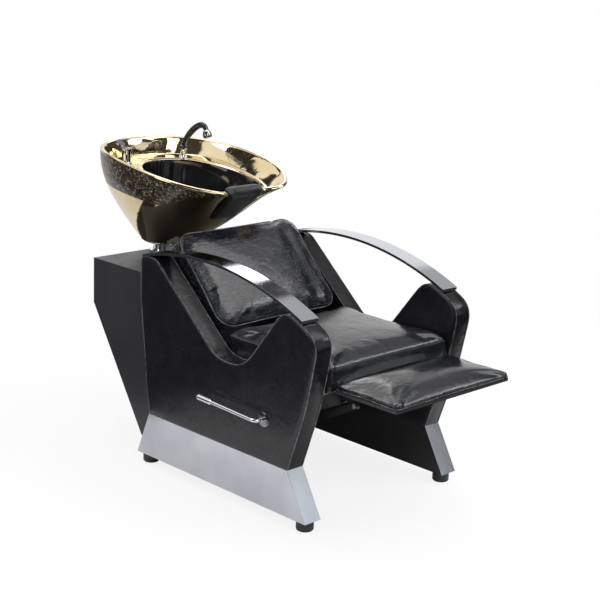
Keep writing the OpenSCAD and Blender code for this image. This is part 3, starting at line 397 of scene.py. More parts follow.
def plywood():
    s = Shader("plywood", (0.33, 0.23, 0.14), 0.6)
    grain = s.noise(14, 6, 0.65, 1.2, s.stretched((1, 9, 9)))
    s.color(s.ramp(grain, [(0.3, (0.20, 0.13, 0.075)), (0.7, (0.42, 0.30, 0.19))]))
    s.bump(grain, 0.0002)
    return s.material


def pipe_plastic():
    s = Shader("pipe_plastic", (0.30, 0.31, 0.32), 0.42)
    s.color(s.ramp(s.noise(25, 3), [(0.3, (0.27, 0.28, 0.29)), (0.7, (0.34, 0.35, 0.36))]))
    s.bump(s.noise(300, 2), 0.00005)
    return s.material


def black_plastic():
    s = Shader("black_plastic", (0.014, 0.014, 0.015), 0.2, Coat_Weight=0.25, Coat_Roughness=0.1)
    s.roughness(s.ramp(s.noise(60, 4), [(0.3, 0.15), (0.7, 0.28)]))
    s.color(s.ramp(s.noise(15, 3), [(0.3, (0.011, 0.011, 0.012)), (0.7, (0.019, 0.019, 0.020))]))
    s.bump(s.noise(500, 2), 0.00004)
    return s.material


VINYL = vinyl("seat_vinyl", creases=0.4)
BACK_VINYL = vinyl("backrest_vinyl")
PANEL_VINYL = vinyl("panel_vinyl", (0.0060, 0.0060, 0.0074), (0.20, 0.32), 0.15)
# The edge band is the panel vinyl with a darker tint, which is painted shade for its dark front faces, and
# a lower shine.
SHADED_BAND_VINYL = vinyl("band_vinyl_painted_shade", (0.0045, 0.0045, 0.0055), (0.16, 0.28), 0.3, 0.2)
PIPING = piping_cord()
STEEL = polished_steel()
ARM_STEEL = arm_steel()
CHROME = chrome()
# Chrome with a low tint: on the mixer and the handset head the darkness is painted shade that stands in
# for their dark reflections; the lever bush plate is a dark part itself.
DARK_AND_SHADED_CHROME = chrome("dark_and_shaded_chrome", (0.30, 0.30, 0.32), 0.06)
GOLD = gold_glaze()
BLACK_GLAZE = black_glaze()
SPECKLED = speckled_glaze()
RUBBER = rubber()
NECK_RUBBER = rubber("neck_rubber", (0.005, 0.005, 0.006), 0.46)
LAMINATE = laminate()
BLACK_COAT = black_coat()
GREY_PAINT = grey_paint()
ZINC = zinc()
BRASS = brass()
PLYWOOD = plywood()
PIPE_PLASTIC = pipe_plastic()
BLACK_PLASTIC = black_plastic()

FINISHES = {
    RUBBER: ["foot_pads"],
    ZINC: [
        "foot_screws", "crossbar_bolts", "post_bolts", "bowl_mount_bolts", "link_pin", "tilt_pins",
        "legrest_hinge_pins", "lever_circlip", "service_panel_screws", "bowl_mount_plate",
    ],
    BLACK_COAT: [
        "front_crossbar", "rear_crossbar", "back_crossbars", "legrest_hinge_lugs", "legrest_arms",
        "cabinet_spacers", "base_rail_right", "base_rail_left", "pull_link",
    ],
    STEEL: ["skirt_right", "skirt_left"],
    ARM_STEEL: ["armrest_right", "armrest_left"],
    PLYWOOD: ["seat_board", "service_battens"],
    PANEL_VINYL: ["backrest_board"],
    LAMINATE: [
        "cabinet_side_right", "cabinet_side_left", "cabinet_top", "cabinet_front", "cabinet_back",
        "cabinet_floor", "service_panel", "legrest_board",
    ],
    CHROME: [
        "lever_rod", "lever_grip", "lever_shaft", "bowl_post", "drain_waste", "drain_strainer",
        "handset_holder",
    ],
    # Painted shade: the low chrome tint darkens the mixer and handset head in place of dark reflections.
    DARK_AND_SHADED_CHROME: ["lever_bush_plate", "mixer_body", "mixer_cartridge", "mixer_lever", "handset_head"],
    BLACK_PLASTIC: ["handset"],
    PIPE_PLASTIC: ["waste_pipe"],
    BRASS: ["water_inlets"],
    GREY_PAINT: ["post_gussets", "bowl_buffer"],
}


def finish_solids():
    for material, names in FINISHES.items():
        for name in names:
            NODES[name].data.materials.clear()
            NODES[name].data.materials.append(material)


# Mesh helpers
def new_piece(name, points, faces, materials, smooth=True):
    mesh = bpy.data.meshes.new(name)
    mesh.from_pydata([tuple(p) for p in points], [], faces)
    for material in materials:
        mesh.materials.append(material)
    mesh.polygons.foreach_set("use_smooth", [smooth] * len(mesh.polygons))
    mesh.update()
    return link(bpy.data.objects.new(name, mesh))


def applied(obj):
    """Bakes the modifiers of an object into its mesh."""
    bpy.context.view_layer.update()
    mesh = bpy.data.meshes.new_from_object(obj.evaluated_get(bpy.context.evaluated_depsgraph_get()))
    obj.modifiers.clear()
    obj.data = mesh


def subdivided(obj, levels):
    modifier = obj.modifiers.new("smooth", "SUBSURF")
    modifier.levels = levels
    modifier.render_levels = levels
    applied(obj)


def solid_copy(node, name):
    """A copy of a CAD piece with its seams welded and its flat faces whole."""
    bm = bmesh.new()
    bm.from_mesh(NODES[node].data)
    bmesh.ops.remove_doubles(bm, verts=bm.verts, dist=WELD)
    bmesh.ops.dissolve_limit(bm, angle_limit=math.radians(0.5), verts=bm.verts, edges=bm.edges)
    mesh = bpy.data.meshes.new(name)
    bm.to_mesh(mesh)
    bm.free()
    for material in NODES[node].data.materials:
        mesh.materials.append(material)
    return link(bpy.data.objects.new(name, mesh))


def eased(node, width, body, slot):
    """Stands for a CAD piece with its sharp edges rounded over."""
    obj = solid_copy(node, node + "_eased")
    obj.data.polygons.foreach_set("use_smooth", [True] * len(obj.data.polygons))
    modifier = obj.modifiers.new("ease", "BEVEL")
    modifier.width = width
    modifier.segments = 3
    modifier.limit_method = "ANGLE"
    modifier.angle_limit = math.radians(35)
    flat = obj.modifiers.new("flat", "WEIGHTED_NORMAL")
    flat.weight = 100
    applied(obj)
    dressed(obj, body, slot, node)


def dressed(obj, body, slot, *nodes):
    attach(obj, body)
    if nodes:
        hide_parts(*nodes)


def ring_faces(count, rings, closed_stack=False):
    """Faces between rings of points, each ring closed, and the last joined to the first if asked."""
    last = rings if closed_stack else rings - 1
    faces = []
    for k in range(last):
        low, high = k * count, (k + 1) % rings * count
        for i in range(count):
            j = (i + 1) % count
            faces.append((low + i, low + j, high + j, high + i))
    return faces


def tube(name, path, radius, material, sides=10):
    """A round cord along a closed list of points."""
    points = [Vector(p) for p in path]
    count = len(points)
    verts = []
    for i, p in enumerate(points):
        along = (points[(i + 1) % count] - points[i - 1]).normalized()
        across = along.cross(Vector((1, 0.01, 0.02))).normalized()
        other = along.cross(across)
        for k in range(sides):
            a = 2 * math.pi * k / sides
            verts.append(p + radius * (math.cos(a) * across + math.sin(a) * other))
    return new_piece(name, verts, ring_faces(sides, count, True), [material])


def cut_outline(node, x):
    """The longest closed outline, as (y, z) points, where a CAD piece is cut at x."""
    bm = bmesh.new()
    bm.from_mesh(NODES[node].data)
    bmesh.ops.remove_doubles(bm, verts=bm.verts, dist=WELD)
    everything = bm.verts[:] + bm.edges[:] + bm.faces[:]
    cut = bmesh.ops.bisect_plane(bm, geom=everything, plane_co=(x, 0, 0), plane_no=(1, 0, 0))["geom_cut"]
    near = {}
    for edge in (g for g in cut if isinstance(g, bmesh.types.BMEdge)):
        a, b = edge.verts
        near.setdefault(a, []).append(b)
        near.setdefault(b, []).append(a)
    loops, seen = [], set()
    for start in near:
        if start in seen:
            continue
        loop, here = [], start
        while here is not None:
            loop.append((here.co.y, here.co.z))
            seen.add(here)
            here = next((v for v in near[here] if v not in seen), None)
        loops.append(np.array(loop))
    bm.free()
    longest = max(loops, key=lambda p: np.linalg.norm(np.diff(p, axis=0), axis=1).sum())
    turning = np.cross(longest, np.roll(longest, -1, axis=0)).sum()
    return longest if turning > 0 else longest[::-1]


def resampled(loop, step, corner=math.radians(28)):
    """Even points along an outline, with its sharp corners kept."""
    before = loop - np.roll(loop, 1, axis=0)
    after = np.roll(loop, -1, axis=0) - loop
    turn = np.abs(np.arctan2(np.cross(before, after), (before * after).sum(axis=1)))
    corners = [int(i) for i in np.nonzero(turn > corner)[0]] or [0]
    points = []
    for n, first in enumerate(corners):
        last = corners[(n + 1) % len(corners)]
        if last <= first:
            last += len(loop)
        run = loop[[i % len(loop) for i in range(first, last + 1)]]
        length = np.concatenate([[0], np.cumsum(np.linalg.norm(np.diff(run, axis=0), axis=1))])
        count = max(2, round(length[-1] / step))
        at = np.linspace(0, length[-1], count + 1)[:-1]
        points += [(np.interp(d, length, run[:, 0]), np.interp(d, length, run[:, 1])) for d in at]
    return np.array(points)


def outline_distance(points, loop):
    """Distance from each point to a closed outline."""
    a, b = loop, np.roll(loop, -1, axis=0)
    d = b - a
    share = ((points[:, None] - a) * d).sum(axis=2) / (d * d).sum(axis=1)
    nearest = a + np.clip(share, 0, 1)[..., None] * d
    return np.linalg.norm(points[:, None] - nearest, axis=2).min(axis=1)


def outward(loop):
    d = np.roll(loop, -1, axis=0) - np.roll(loop, 1, axis=0)
    d /= np.linalg.norm(d, axis=1)[:, None]
    return np.stack([d[:, 1], -d[:, 0]], axis=1)


# Side panels: two padded faces and a padded edge band between lines of piping
def face_points(loop):
    """Points inside an outline: rows close along its edge, then an even grid."""
    normals = outward(loop)
    inside = [loop - inset * normals for inset in FACE_INSETS]
    low, high = loop.min(axis=0), loop.max(axis=0)
    across, up = np.arange(low[0], high[0], FACE_STEP), np.arange(low[1], high[1], FACE_STEP)
    inside.append(np.stack(np.meshgrid(across, up), -1).reshape(-1, 2))
    kept = [p[outline_distance(p, loop) > margin] for margin, p in zip(FACE_MARGINS, inside)]
    return np.concatenate(kept)


def padded_height(distance, puff, reach=0.016):
    share = np.clip(distance / reach, 0, 1)
    return puff * np.sqrt(1 - (1 - share) ** 2)


def softened(loop, free, rounds):
    """An outline whose free points are drawn together, which rounds its corners."""
    for _ in range(rounds):
        drawn = (np.roll(loop, 1, axis=0) + 2 * loop + np.roll(loop, -1, axis=0)) / 4
        loop = np.where(free[:, None], drawn, loop)
    return loop


def rounded_outline(loop):
    """A side panel's outline with soft peaks and a wide round valley under the arm."""
    upper = loop[:, 1] > SKIRT_TOP + 0.06
    loop = softened(loop, upper, PEAK_ROUNDS)
    loop = softened(loop, upper & (loop[:, 0] < MID_Y), KNOB_ROUNDS)
    turning = np.cross(loop - np.roll(loop, 1, axis=0), np.roll(loop, -1, axis=0) - loop)
    hollow = (turning < -1e-6) & upper
    near = sum(np.roll(hollow, k) for k in range(-VALLEY_REACH, VALLEY_REACH + 1)) > 0
    return softened(loop, near, VALLEY_ROUNDS)


def panel_plan(loop):
    """A face's plan: its points, its triangles, and the plan point of each outline point."""
    flat = [Vector(p) for p in np.concatenate([loop, face_points(loop)])]
    cdt = geometry.delaunay_2d_cdt(flat, [], [list(range(len(loop)))], 1, 1e-6)
    plan = np.array([tuple(v) for v in cdt[0]])
    edge = {ids[0]: i for i, ids in enumerate(cdt[3]) if ids and ids[0] < len(loop)}
    return plan, cdt[2], edge


def panel_face(plan, triangles, rise, x, side, start):
    """Points and faces of one padded face, whose points are numbered from start."""
    points = []
    for (y, z), lift in zip(plan, rise):
        swell = FACE_SWELL * noise.noise(Vector((x * 9, y * 14, z * 14)))
        points.append((x + side * (lift + swell * (lift > 0) - SEAM_IN), y, z))
    return points, [[start + i for i in triangle][::side] for triangle in triangles]


def panel_band(loop, outer, inner, side):
    """Rows of points round the padded edge band, from the outer face to the inner one."""
    normals = outward(loop)
    rows = []
    for share in BAND_SHARES:
        lift = BAND_PUFF * math.sin(math.pi * share) ** 0.5
        x = outer + (inner - outer) * share - side * SEAM_IN * (1 - 2 * share)
        row = []
        for (y, z), normal in zip(loop, normals):
            crease = BAND_CREASE * noise.noise(Vector((share * 3, y * 40, z * 40)))
            out = lift + crease - BAND_SINK
            row.append((x, y + out * normal[0], z + out * normal[1]))
        rows.append(row)
    return rows


def side_panel(node, side):
    low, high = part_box(node)
    outer, inner = (low.x, high.x) if side < 0 else (high.x, low.x)
    cut = outer - side * PANEL_CUT * (high.x - low.x)
    loop = rounded_outline(resampled(cut_outline(node, cut), OUTLINE_STEP))
    count = len(loop)
    plan, triangles, edge = panel_plan(loop)
    rise = padded_height(outline_distance(plan, loop), PANEL_PUFF)
    points, faces = panel_face(plan, triangles, rise, outer, side, 0)
    far_points, far_faces = panel_face(plan, triangles, rise, inner, -side, len(plan))
    points += far_points
    faces += far_faces
    face_count = len(faces)
    rows = [[edge[i] for i in range(count)]]
    for row in panel_band(loop, outer, inner, side):
        rows.append(list(range(len(points), len(points) + count)))
        points += row
    rows.append([len(plan) + edge[i] for i in range(count)])
    for a, b in zip(rows, rows[1:]):
        for i in range(count):
            j = (i + 1) % count
            faces.append((a[i], a[j], b[j], b[i])[::-side])
    # The band faces take the band vinyl, whose darker tint is painted shade.
    panel = new_piece(node + "_cover", points, faces, [PANEL_VINYL, SHADED_BAND_VINYL])
    finish = [0] * face_count + [1] * (len(faces) - face_count)
    panel.data.polygons.foreach_set("material_index", finish)
    dressed(panel, "root", "panel_vinyl", node)
    for x, word in ((outer, "outer"), (inner, "inner")):
        inward = SEAM_IN if x == low.x else -SEAM_IN
        path = [(x + inward, y, z) for y, z in loop]
        dressed(tube(f"{node}_{word}_piping", path, PIPING_R, PIPING), "root", "panel_vinyl")


# Cushions: the CAD form swollen by a cloth simulation, then a sewn line of piping on the backrest and the
# leg rest
def smoothed(obj, held, rounds):
    """Rounds a cushion over, apart from where it rests on its board."""
    points = np.array([v.co for v in obj.data.vertices])
    free = obj.vertex_groups.new(name="free")
    free.add([int(i) for i in np.nonzero(~held(points))[0]], 1.0, "REPLACE")
    modifier = obj.modifiers.new("round", "SMOOTH")
    modifier.factor = 0.5
    modifier.iterations = rounds
    modifier.vertex_group = "free"
    applied(obj)
    obj.vertex_groups.clear()


def swollen(name, node, shrink, voxel, cap, held, rounding, settling):
    """A cushion from a CAD solid. held(points) says which points rest on the board and stay put."""
    obj = solid_copy(node, name)
    low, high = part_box(node)
    middle = (low + high) / 2
    obj.data.transform(Matrix.Translation(middle) @ Matrix.Scale(shrink, 4) @ Matrix.Translation(-middle))
    remesh = obj.modifiers.new("remesh", "REMESH")
    remesh.mode = "VOXEL"
    remesh.voxel_size = voxel
    applied(obj)
    smoothed(obj, held, rounding)
    start = np.array([v.co for v in obj.data.vertices])
    pins = obj.vertex_groups.new(name="held")
    pins.add([int(i) for i in np.nonzero(held(start))[0]], 1.0, "REPLACE")
    cloth = obj.modifiers.new("cloth", "CLOTH")
    settings = cloth.settings
    settings.quality = 5
    settings.mass = 0.3
    settings.tension_stiffness = 12
    settings.compression_stiffness = 12
    settings.bending_stiffness = 2
    settings.use_pressure = True
    settings.uniform_pressure_force = CLOTH_PRESSURE
    settings.shrink_min = 0.002
    settings.vertex_group_mass = "held"
    settings.effector_weights.gravity = 0
    for step in range(1, CLOTH_STEPS + 1):
        SCENE.frame_set(step)
    applied(obj)
    SCENE.frame_set(1)
    end = np.array([v.co for v in obj.data.vertices])
    move = end - start
    reach = np.linalg.norm(move, axis=1)[:, None]
    end = start + move * np.minimum(1, cap / np.maximum(reach, 1e-9))
    obj.data.vertices.foreach_set("co", end.astype(np.float32).ravel())
    obj.vertex_groups.clear()
    smoothed(obj, held, settling)
    subdivided(obj, 1)
    obj.data.polygons.foreach_set("use_smooth", [True] * len(obj.data.polygons))
    return obj


def rounded_ring(width, length, radius, steps=8, along=14):
    """Points of a rounded rectangle about the origin."""
    ring = []
    for sx, sy, first in ((1, 1, 0), (-1, 1, 90), (-1, -1, 180), (1, -1, 270)):
        x, y = sx * (width / 2 - radius), sy * (length / 2 - radius)
        for k in range(steps + 1):
            a = math.radians(first + 90 * k / steps)
            ring.append(Vector((x + radius * math.cos(a), y + radius * math.sin(a), 0)))
    full = []
    for k, p in enumerate(ring):
        q = ring[(k + 1) % len(ring)]
        gap = max(1, round((q - p).length / (length / along)))
        full += [p.lerp(q, i / gap) for i in range(gap)]
    return full


def sewn_line(name, cushion, ring, place, radius, sink=0.0006):
    """A cord that lies on a cushion's surface along a ring given in the cushion's own plane."""
    surface = BVHTree.FromObject(cushion, bpy.context.evaluated_depsgraph_get())
    path = []
    for p in ring:
        found, normal, _, _ = surface.find_nearest(place @ p)
        path.append(found + normal * (radius - sink))
    return tube(name, path, radius, PIPING, sides=8)


BACK_PLACE = (
    Matrix.Translation(BACK_FOOT + BACK_THICKNESS * Vector((0, math.cos(BACK_LEAN), -math.sin(BACK_LEAN))))
    @ Matrix.Rotation(math.pi / 2 - BACK_LEAN, 4, "X")
    @ Matrix.Translation((0, BACK_LENGTH / 2, 0))
)


def fold_in(cushion, inverse):
    """The long soft fold near the backrest's left edge, deepest on its face."""
    for vertex in cushion.data.vertices:
        local = inverse @ vertex.co
        share = math.exp(-(((local.x - FOLD_X) / FOLD_WIDTH) ** 2))
        face = min(1.0, max(0.0, local.z / BACK_THICKNESS)) ** 2
        local.z -= FOLD_DEPTH * share * face
        vertex.co = BACK_PLACE @ local


def seat_cushion():
    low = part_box("seat_cushion")[0]
    cushion = swollen("seat_cushion_cover", "seat_cushion", 0.995, 0.006, 0.009,
                      lambda p: p[:, 2] < low.z + 0.006, 8, 3)
    cushion.data.materials.clear()
    cushion.data.materials.append(VINYL)
    dressed(cushion, "root", "seat_vinyl", "seat_cushion")


def backrest_cushion():
    inverse = BACK_PLACE.inverted()

    def held(points):
        local = np.array([inverse @ Vector(p) for p in points])
        return local[:, 2] < 0.005

    cushion = swollen("backrest_cushion_cover", "backrest_cushion", 0.998, 0.006, 0.004, held, 4, 4)
    fold_in(cushion, inverse)
    cushion.data.materials.clear()
    cushion.data.materials.append(BACK_VINYL)
    dressed(cushion, "root", "seat_vinyl", "backrest_cushion")
    low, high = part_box("backrest_cushion")
    ring = rounded_ring(high.x - low.x, BACK_LENGTH, BACK_CORNER)
    edge = BACK_PLACE @ Matrix.Translation((0, 0, 0.060))
    dressed(sewn_line("backrest_piping", cushion, ring, edge, 0.0018), "root", "seat_vinyl")


def legrest_pad():
    low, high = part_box("legrest_pad")
    cushion = swollen("legrest_pad_cover", "legrest_pad", 0.997, 0.005, 0.008,
                      lambda p: p[:, 2] < low.z + 0.004, 3, 10)
    cushion.data.materials.clear()
    cushion.data.materials.append(VINYL)
    dressed(cushion, "legrest", "seat_vinyl", "legrest_pad")
    ring = rounded_ring(high.x - low.x, high.y - low.y, 0.016)
    edge = Matrix.Translation(((low.x + high.x) / 2, (low.y + high.y) / 2, low.z + 0.003))
    dressed(sewn_line("legrest_piping", cushion, ring, edge, 0.0014), "legrest", "seat_vinyl")


# Bowl: one skin from the hollow foot, up the outside, over the rim and down into the basin
def signed_power(value, power):
    return math.copysign(abs(value) ** power, value)


def bezier(k, t):
    return k[0] * (1 - t) ** 3 + 3 * k[1] * t * (1 - t) ** 2 + 3 * k[2] * t * t * (1 - t) + k[3] * t ** 3


def notch_share(t, x):
    return math.exp(-((x / NOTCH_WIDTH) ** 4)) if math.sin(t) < -1e-9 else 0.0


def rim_flat(t, inset, drop):
    """A point of the rim before the notch is drawn in, with the notch's share there."""
    a, b = RIM_A - inset, RIM_B - inset
    s = math.sin(t)
    dy = b * signed_power(s, RIM_POWER)
    x = a * signed_power(math.cos(t), RIM_POWER) * (1 + RIM_TAPER * s)
    share = notch_share(t, x)
    z = RIM_Z + RIM_SLOPE * dy - RIM_SAG * dy * dy / b - NOTCH_DEPTH * share - drop
    return Vector((MID_X + x, RIM_C + dy, z)), share


def rim_point(t, inset, drop):
    point, share = rim_flat(t, inset, drop)
    return point + Vector((0, NOTCH_IN * share, 0))


def foot_point(t, radius, z):
    return Vector((MID_X + radius * math.cos(t), STAND_Y + radius * math.sin(t), z))


def outer_point(t, v):
    foot = foot_point(t, FOOT_RING_R, FOOT_Z)
    rim, share = rim_flat(t, 0, 0.007)
    neck = max(0.0, -math.sin(t)) ** NECK_BLEND
    flat = foot.lerp(rim, (1 - neck) * bezier(SIDE_PROFILE, v) + neck * bezier(NECK_PROFILE, v))
    return Vector((flat.x, flat.y + NOTCH_IN * share * v ** NOTCH_FOOT, foot.z + (rim.z - foot.z) * v))


def plan_point(t, form):
    """A point of the deck's or the basin's outline; form is half width, front, rear, roundness, taper."""
    half, front, rear, power, taper = form
    x = half * signed_power(math.cos(t), power) * (1 + taper * math.sin(t))
    y = front + (rear - front) * (1 + signed_power(math.sin(t), power)) / 2 + NOTCH_IN * notch_share(t, x)
    sunk = max(0.0, (DECK_BEND[1] - y) / (DECK_BEND[1] - DECK_BEND[0])) ** 1.1
    return Vector((MID_X + x, y, DECK_Z - DECK_FALL * sunk))


def basin_point(t, share, depth):
    edge, floor = plan_point(t, BASIN), foot_point(t, FLOOR_R, FLOOR_Z)
    flat = edge.lerp(floor, share)
    return Vector((flat.x, flat.y, edge.z + (floor.z - edge.z) * depth))


def wall_point(t, k):
    rim, deck = rim_point(t, RIM_T, 0.005), plan_point(t, DECK)
    flat = rim.lerp(deck, k ** 0.8)
    return Vector((flat.x, flat.y, rim.z + (deck.z - rim.z) * k))


def rim_roll(t):
    return [
        rim_point(t, 0.001, 0.003), rim_point(t, 0.004, 0.0005), rim_point(t, 0.008, 0),
        rim_point(t, RIM_T - 0.0015, 0.0015), wall_point(t, 0),
    ]


def band_low(t):
    return BAND_LOW + BAND_RISE * min(1.0, max(0.0, (-math.sin(t) - 0.39) / 0.45))


def bowl_rows(t):
    """The bowl's profile at an angle, as (point, material) pairs."""
    split = band_low(t)
    rows = [(foot_point(t, FOOT_RING_R - 0.002, FOOT_Z), 0)]
    rows += [(outer_point(t, v), 0) for v in np.linspace(0.02, split - 0.004, 12)]
    rows += [(outer_point(t, split), 1)]
    rows += [(outer_point(t, v), 1) for v in np.linspace(split + 0.003, 0.985, 8)]
    rows += [(outer_point(t, 1), 0)]
    rows += [(p, 0) for p in rim_roll(t)]
    rows += [(wall_point(t, k), 0) for k in (0.18, 0.38, 0.6, 0.82, 0.95, 1)]
    edge, deck = plan_point(t, BASIN), plan_point(t, DECK)
    rows += [(deck.lerp(edge, k) + Vector((0, 0, lift)), 0) for k, lift in DECK_RIDGE]
    rows += [(basin_point(t, *p), 2) for p in BASIN_PROFILE]
    rows += [(foot_point(t, DRAIN_R + 0.006, FLOOR_Z), 2), (foot_point(t, DRAIN_R, FLOOR_Z), 2)]
    rows += [(foot_point(t, DRAIN_R, CUP_Z), 2), (foot_point(t, FOOT_R, CUP_Z), 0)]
    rows += [(foot_point(t, FOOT_R, FOOT_Z), 0)]
    return rows


def bowl():
    turns = [bowl_rows(2 * math.pi * i / BOWL_STEPS) for i in range(BOWL_STEPS)]
    depth = len(turns[0])
    points = [turns[i][k][0] for k in range(depth) for i in range(BOWL_STEPS)]
    faces = ring_faces(BOWL_STEPS, depth, True)
    obj = new_piece("bowl_glazed", points, faces, [GOLD, SPECKLED, BLACK_GLAZE])
    finish = [turns[0][k][1] for k in range(depth) for _ in range(BOWL_STEPS)]
    obj.data.polygons.foreach_set("material_index", finish)
    subdivided(obj, 2)
    dressed(obj, "bowl", "bowl_ceramic", "bowl")


# Neck rest: a rubber saddle over the notch
REST_SPREAD = math.radians(13.6)
REST_T = 0.019
REST_EDGE_T = 0.0025
REST_GAP = 0.0006
REST_STEPS = 20
NECK_TURN = 1.5 * math.pi


def over_rim(t):
    skirt = [outer_point(t, v) for v in (0.58, 0.72, 0.86, 1)]
    return skirt + rim_roll(t) + [wall_point(t, k) for k in (0.35, 0.7)]


def rest_rows(t):
    step = 2 * math.pi / BOWL_STEPS
    here, ahead, behind = over_rim(t), over_rim(t + step), over_rim(t - step)
    last = len(here) - 1
    soft = max(0, 1 - (abs(t - NECK_TURN) / REST_SPREAD) ** 6) ** 0.5
    under, top = [], []
    for j, p in enumerate(here):
        across = here[min(j + 1, last)] - here[max(j - 1, 0)]
        normal = (ahead[j] - behind[j]).cross(across).normalized()
        arch = math.sin(math.pi * (j + 0.6) / (last + 1.2)) ** 0.6
        thick = REST_EDGE_T + (REST_T - REST_EDGE_T) * soft * arch
        under.append(p + REST_GAP * normal)
        top.append(p + thick * normal)
    return under + top[::-1]


def neck_rest():
    shares = [2 * i / REST_STEPS - 1 for i in range(REST_STEPS + 1)]
    rings = [rest_rows(NECK_TURN + REST_SPREAD * share) for share in shares]
    count = len(rings[0])
    points = [p for ring in rings for p in ring]
    faces = [f[::-1] for f in ring_faces(count, len(rings))]
    for start, flip in ((0, 1), (REST_STEPS * count, -1)):
        for j in range(count // 2 - 1):
            quad = (start + j, start + j + 1, start + count - 2 - j, start + count - 1 - j)
            faces.append(quad[::flip])
    obj = new_piece("neck_rest_rubber", points, faces, [NECK_RUBBER])
    subdivided(obj, 2)
    dressed(obj, "bowl", "rubber", "neck_rest")


# Floor, light and backdrop
FLOOR_PALE = 0.85
FLOOR_REACH = 6
FLOOR_GAP = 0.0005
CARD_HEIGHT = 0.001


def add_floor():
    corners = [(FLOOR_REACH * x, FLOOR_REACH * y, 0) for x, y in ((-1, -1), (1, -1), (1, 1), (-1, 1))]
    floor = new_piece("floor", corners, [(0, 1, 2, 3)], [], smooth=False)
    s = Shader("floor", (0.86, 0.86, 0.86), 0.7)
    distance = s.node("ShaderNodeVectorMath", operation="LENGTH")
    fade = s.ramp(distance.outputs["Value"], [(0.15, 0.0), (0.5, 1.0)])
    clear = s.node("ShaderNodeBsdfTransparent")
    blend = s.node("ShaderNodeMixShader")
    out = s.tree.nodes["Material Output"]
    glow = s.node("ShaderNodeEmission")
    pale = s.node("ShaderNodeMixShader")
    seen = s.node("ShaderNodeMath", operation="MULTIPLY")
    seen.inputs[1].default_value = FLOOR_PALE
    s.wire(s.node("ShaderNodeLightPath").outputs["Is Camera Ray"], seen.inputs[0])
    s.wire(seen.outputs[0], pale.inputs[0])
    s.wire(s.principled.outputs[0], pale.inputs[1])
    s.wire(glow.outputs[0], pale.inputs[2])
    s.wire(fade, blend.inputs[0])
    s.wire(pale.outputs[0], blend.inputs[1])
    s.wire(clear.outputs[0], blend.inputs[2])
    s.wire(blend.outputs[0], out.inputs["Surface"])
    scale = s.node("ShaderNodeVectorMath", operation="SCALE")
    scale.inputs["Scale"].default_value = 1 / FLOOR_REACH
    s.wire(s.place, scale.inputs[0])
    s.wire(scale.outputs[0], distance.inputs[0])
    floor.data.materials.append(s.material)
    floor.location.z = CAD_BOX[0].z - FLOOR_GAP


# The room that reflections show, as patches: azimuth from +Y, elevation, radius in degrees, brightness
ROOM_LIGHT = 0.75
ROOM_DIM = 0.07
ROOM_DARK = 0.03
LIT_PATCHES = [
    (48, 17, 23, 1.05), (66, 46, 14, 0.55), (-40, 50, 28, 1.2), (5, 44, 26, 1.25), (18, 22, 16, 1.2),
    (8, -18, 26, 0.85), (109, 44, 12, 0.9), (166, 50, 20, 1.5),
]
DARK_PATCHES = [(-12, 46, 11), (0, 34, 9), (55, 35.5, 2.8)]
PATCH_WARP = 0.10


def toward(azimuth, elevation):
    a, e = math.radians(azimuth), math.radians(elevation)
    return Vector((math.sin(a) * math.cos(e), math.cos(a) * math.cos(e), math.sin(e)))


def room_patch(tree, place, azimuth, elevation, radius, inside, outside):
    """One value inside a round patch of directions and another outside it, with a soft edge."""
    aim = tree.nodes.new("ShaderNodeVectorMath")
    aim.operation = "DOT_PRODUCT"
    aim.inputs[1].default_value = toward(azimuth, elevation)
    tree.links.new(place, aim.inputs[0])
    share = tree.nodes.new("ShaderNodeMapRange")
    share.interpolation_type = "SMOOTHSTEP"
    share.inputs["From Min"].default_value = math.cos(math.radians(1.1 * radius))
    share.inputs["From Max"].default_value = math.cos(math.radians(0.85 * radius))
    share.inputs["To Min"].default_value = outside
    share.inputs["To Max"].default_value = inside
    tree.links.new(aim.outputs["Value"], share.inputs["Value"])
    return share.outputs["Result"]


def joined(tree, operation, values):
    total = values[0]
    for value in values[1:]:
        made = tree.nodes.new("ShaderNodeMath")
        made.operation = operation
        tree.links.new(total, made.inputs[0])
        tree.links.new(value, made.inputs[1])
        total = made.outputs[0]
    return total


def room_reflection(tree):
    place = tree.nodes.new("ShaderNodeTexCoord").outputs["Generated"]
    waves = tree.nodes.new("ShaderNodeTexNoise")
    waves.inputs["Scale"].default_value = 4
    tree.links.new(place, waves.inputs["Vector"])
    warp = tree.nodes.new("ShaderNodeVectorMath")
    warp.operation = "MULTIPLY_ADD"
    warp.inputs[1].default_value = (PATCH_WARP,) * 3
    tree.links.new(waves.outputs["Color"], warp.inputs[0])
    tree.links.new(place, warp.inputs[2])
    centred = tree.nodes.new("ShaderNodeVectorMath")
    centred.operation = "SUBTRACT"
    centred.inputs[1].default_value = (PATCH_WARP / 2,) * 3
    tree.links.new(warp.outputs[0], centred.inputs[0])
    way = centred.outputs[0]
    lit = [room_patch(tree, way, a, e, r, light, ROOM_DIM) for a, e, r, light in LIT_PATCHES]
    dark = [room_patch(tree, way, a, e, r, ROOM_DARK, 1) for a, e, r in DARK_PATCHES]
    return joined(tree, "MULTIPLY", [joined(tree, "MAXIMUM", lit), *dark])


def background(tree, color, strength):
    made = tree.nodes.new("ShaderNodeBackground")
    made.inputs["Color"].default_value = (*color, 1)
    made.inputs["Strength"].default_value = strength
    return made


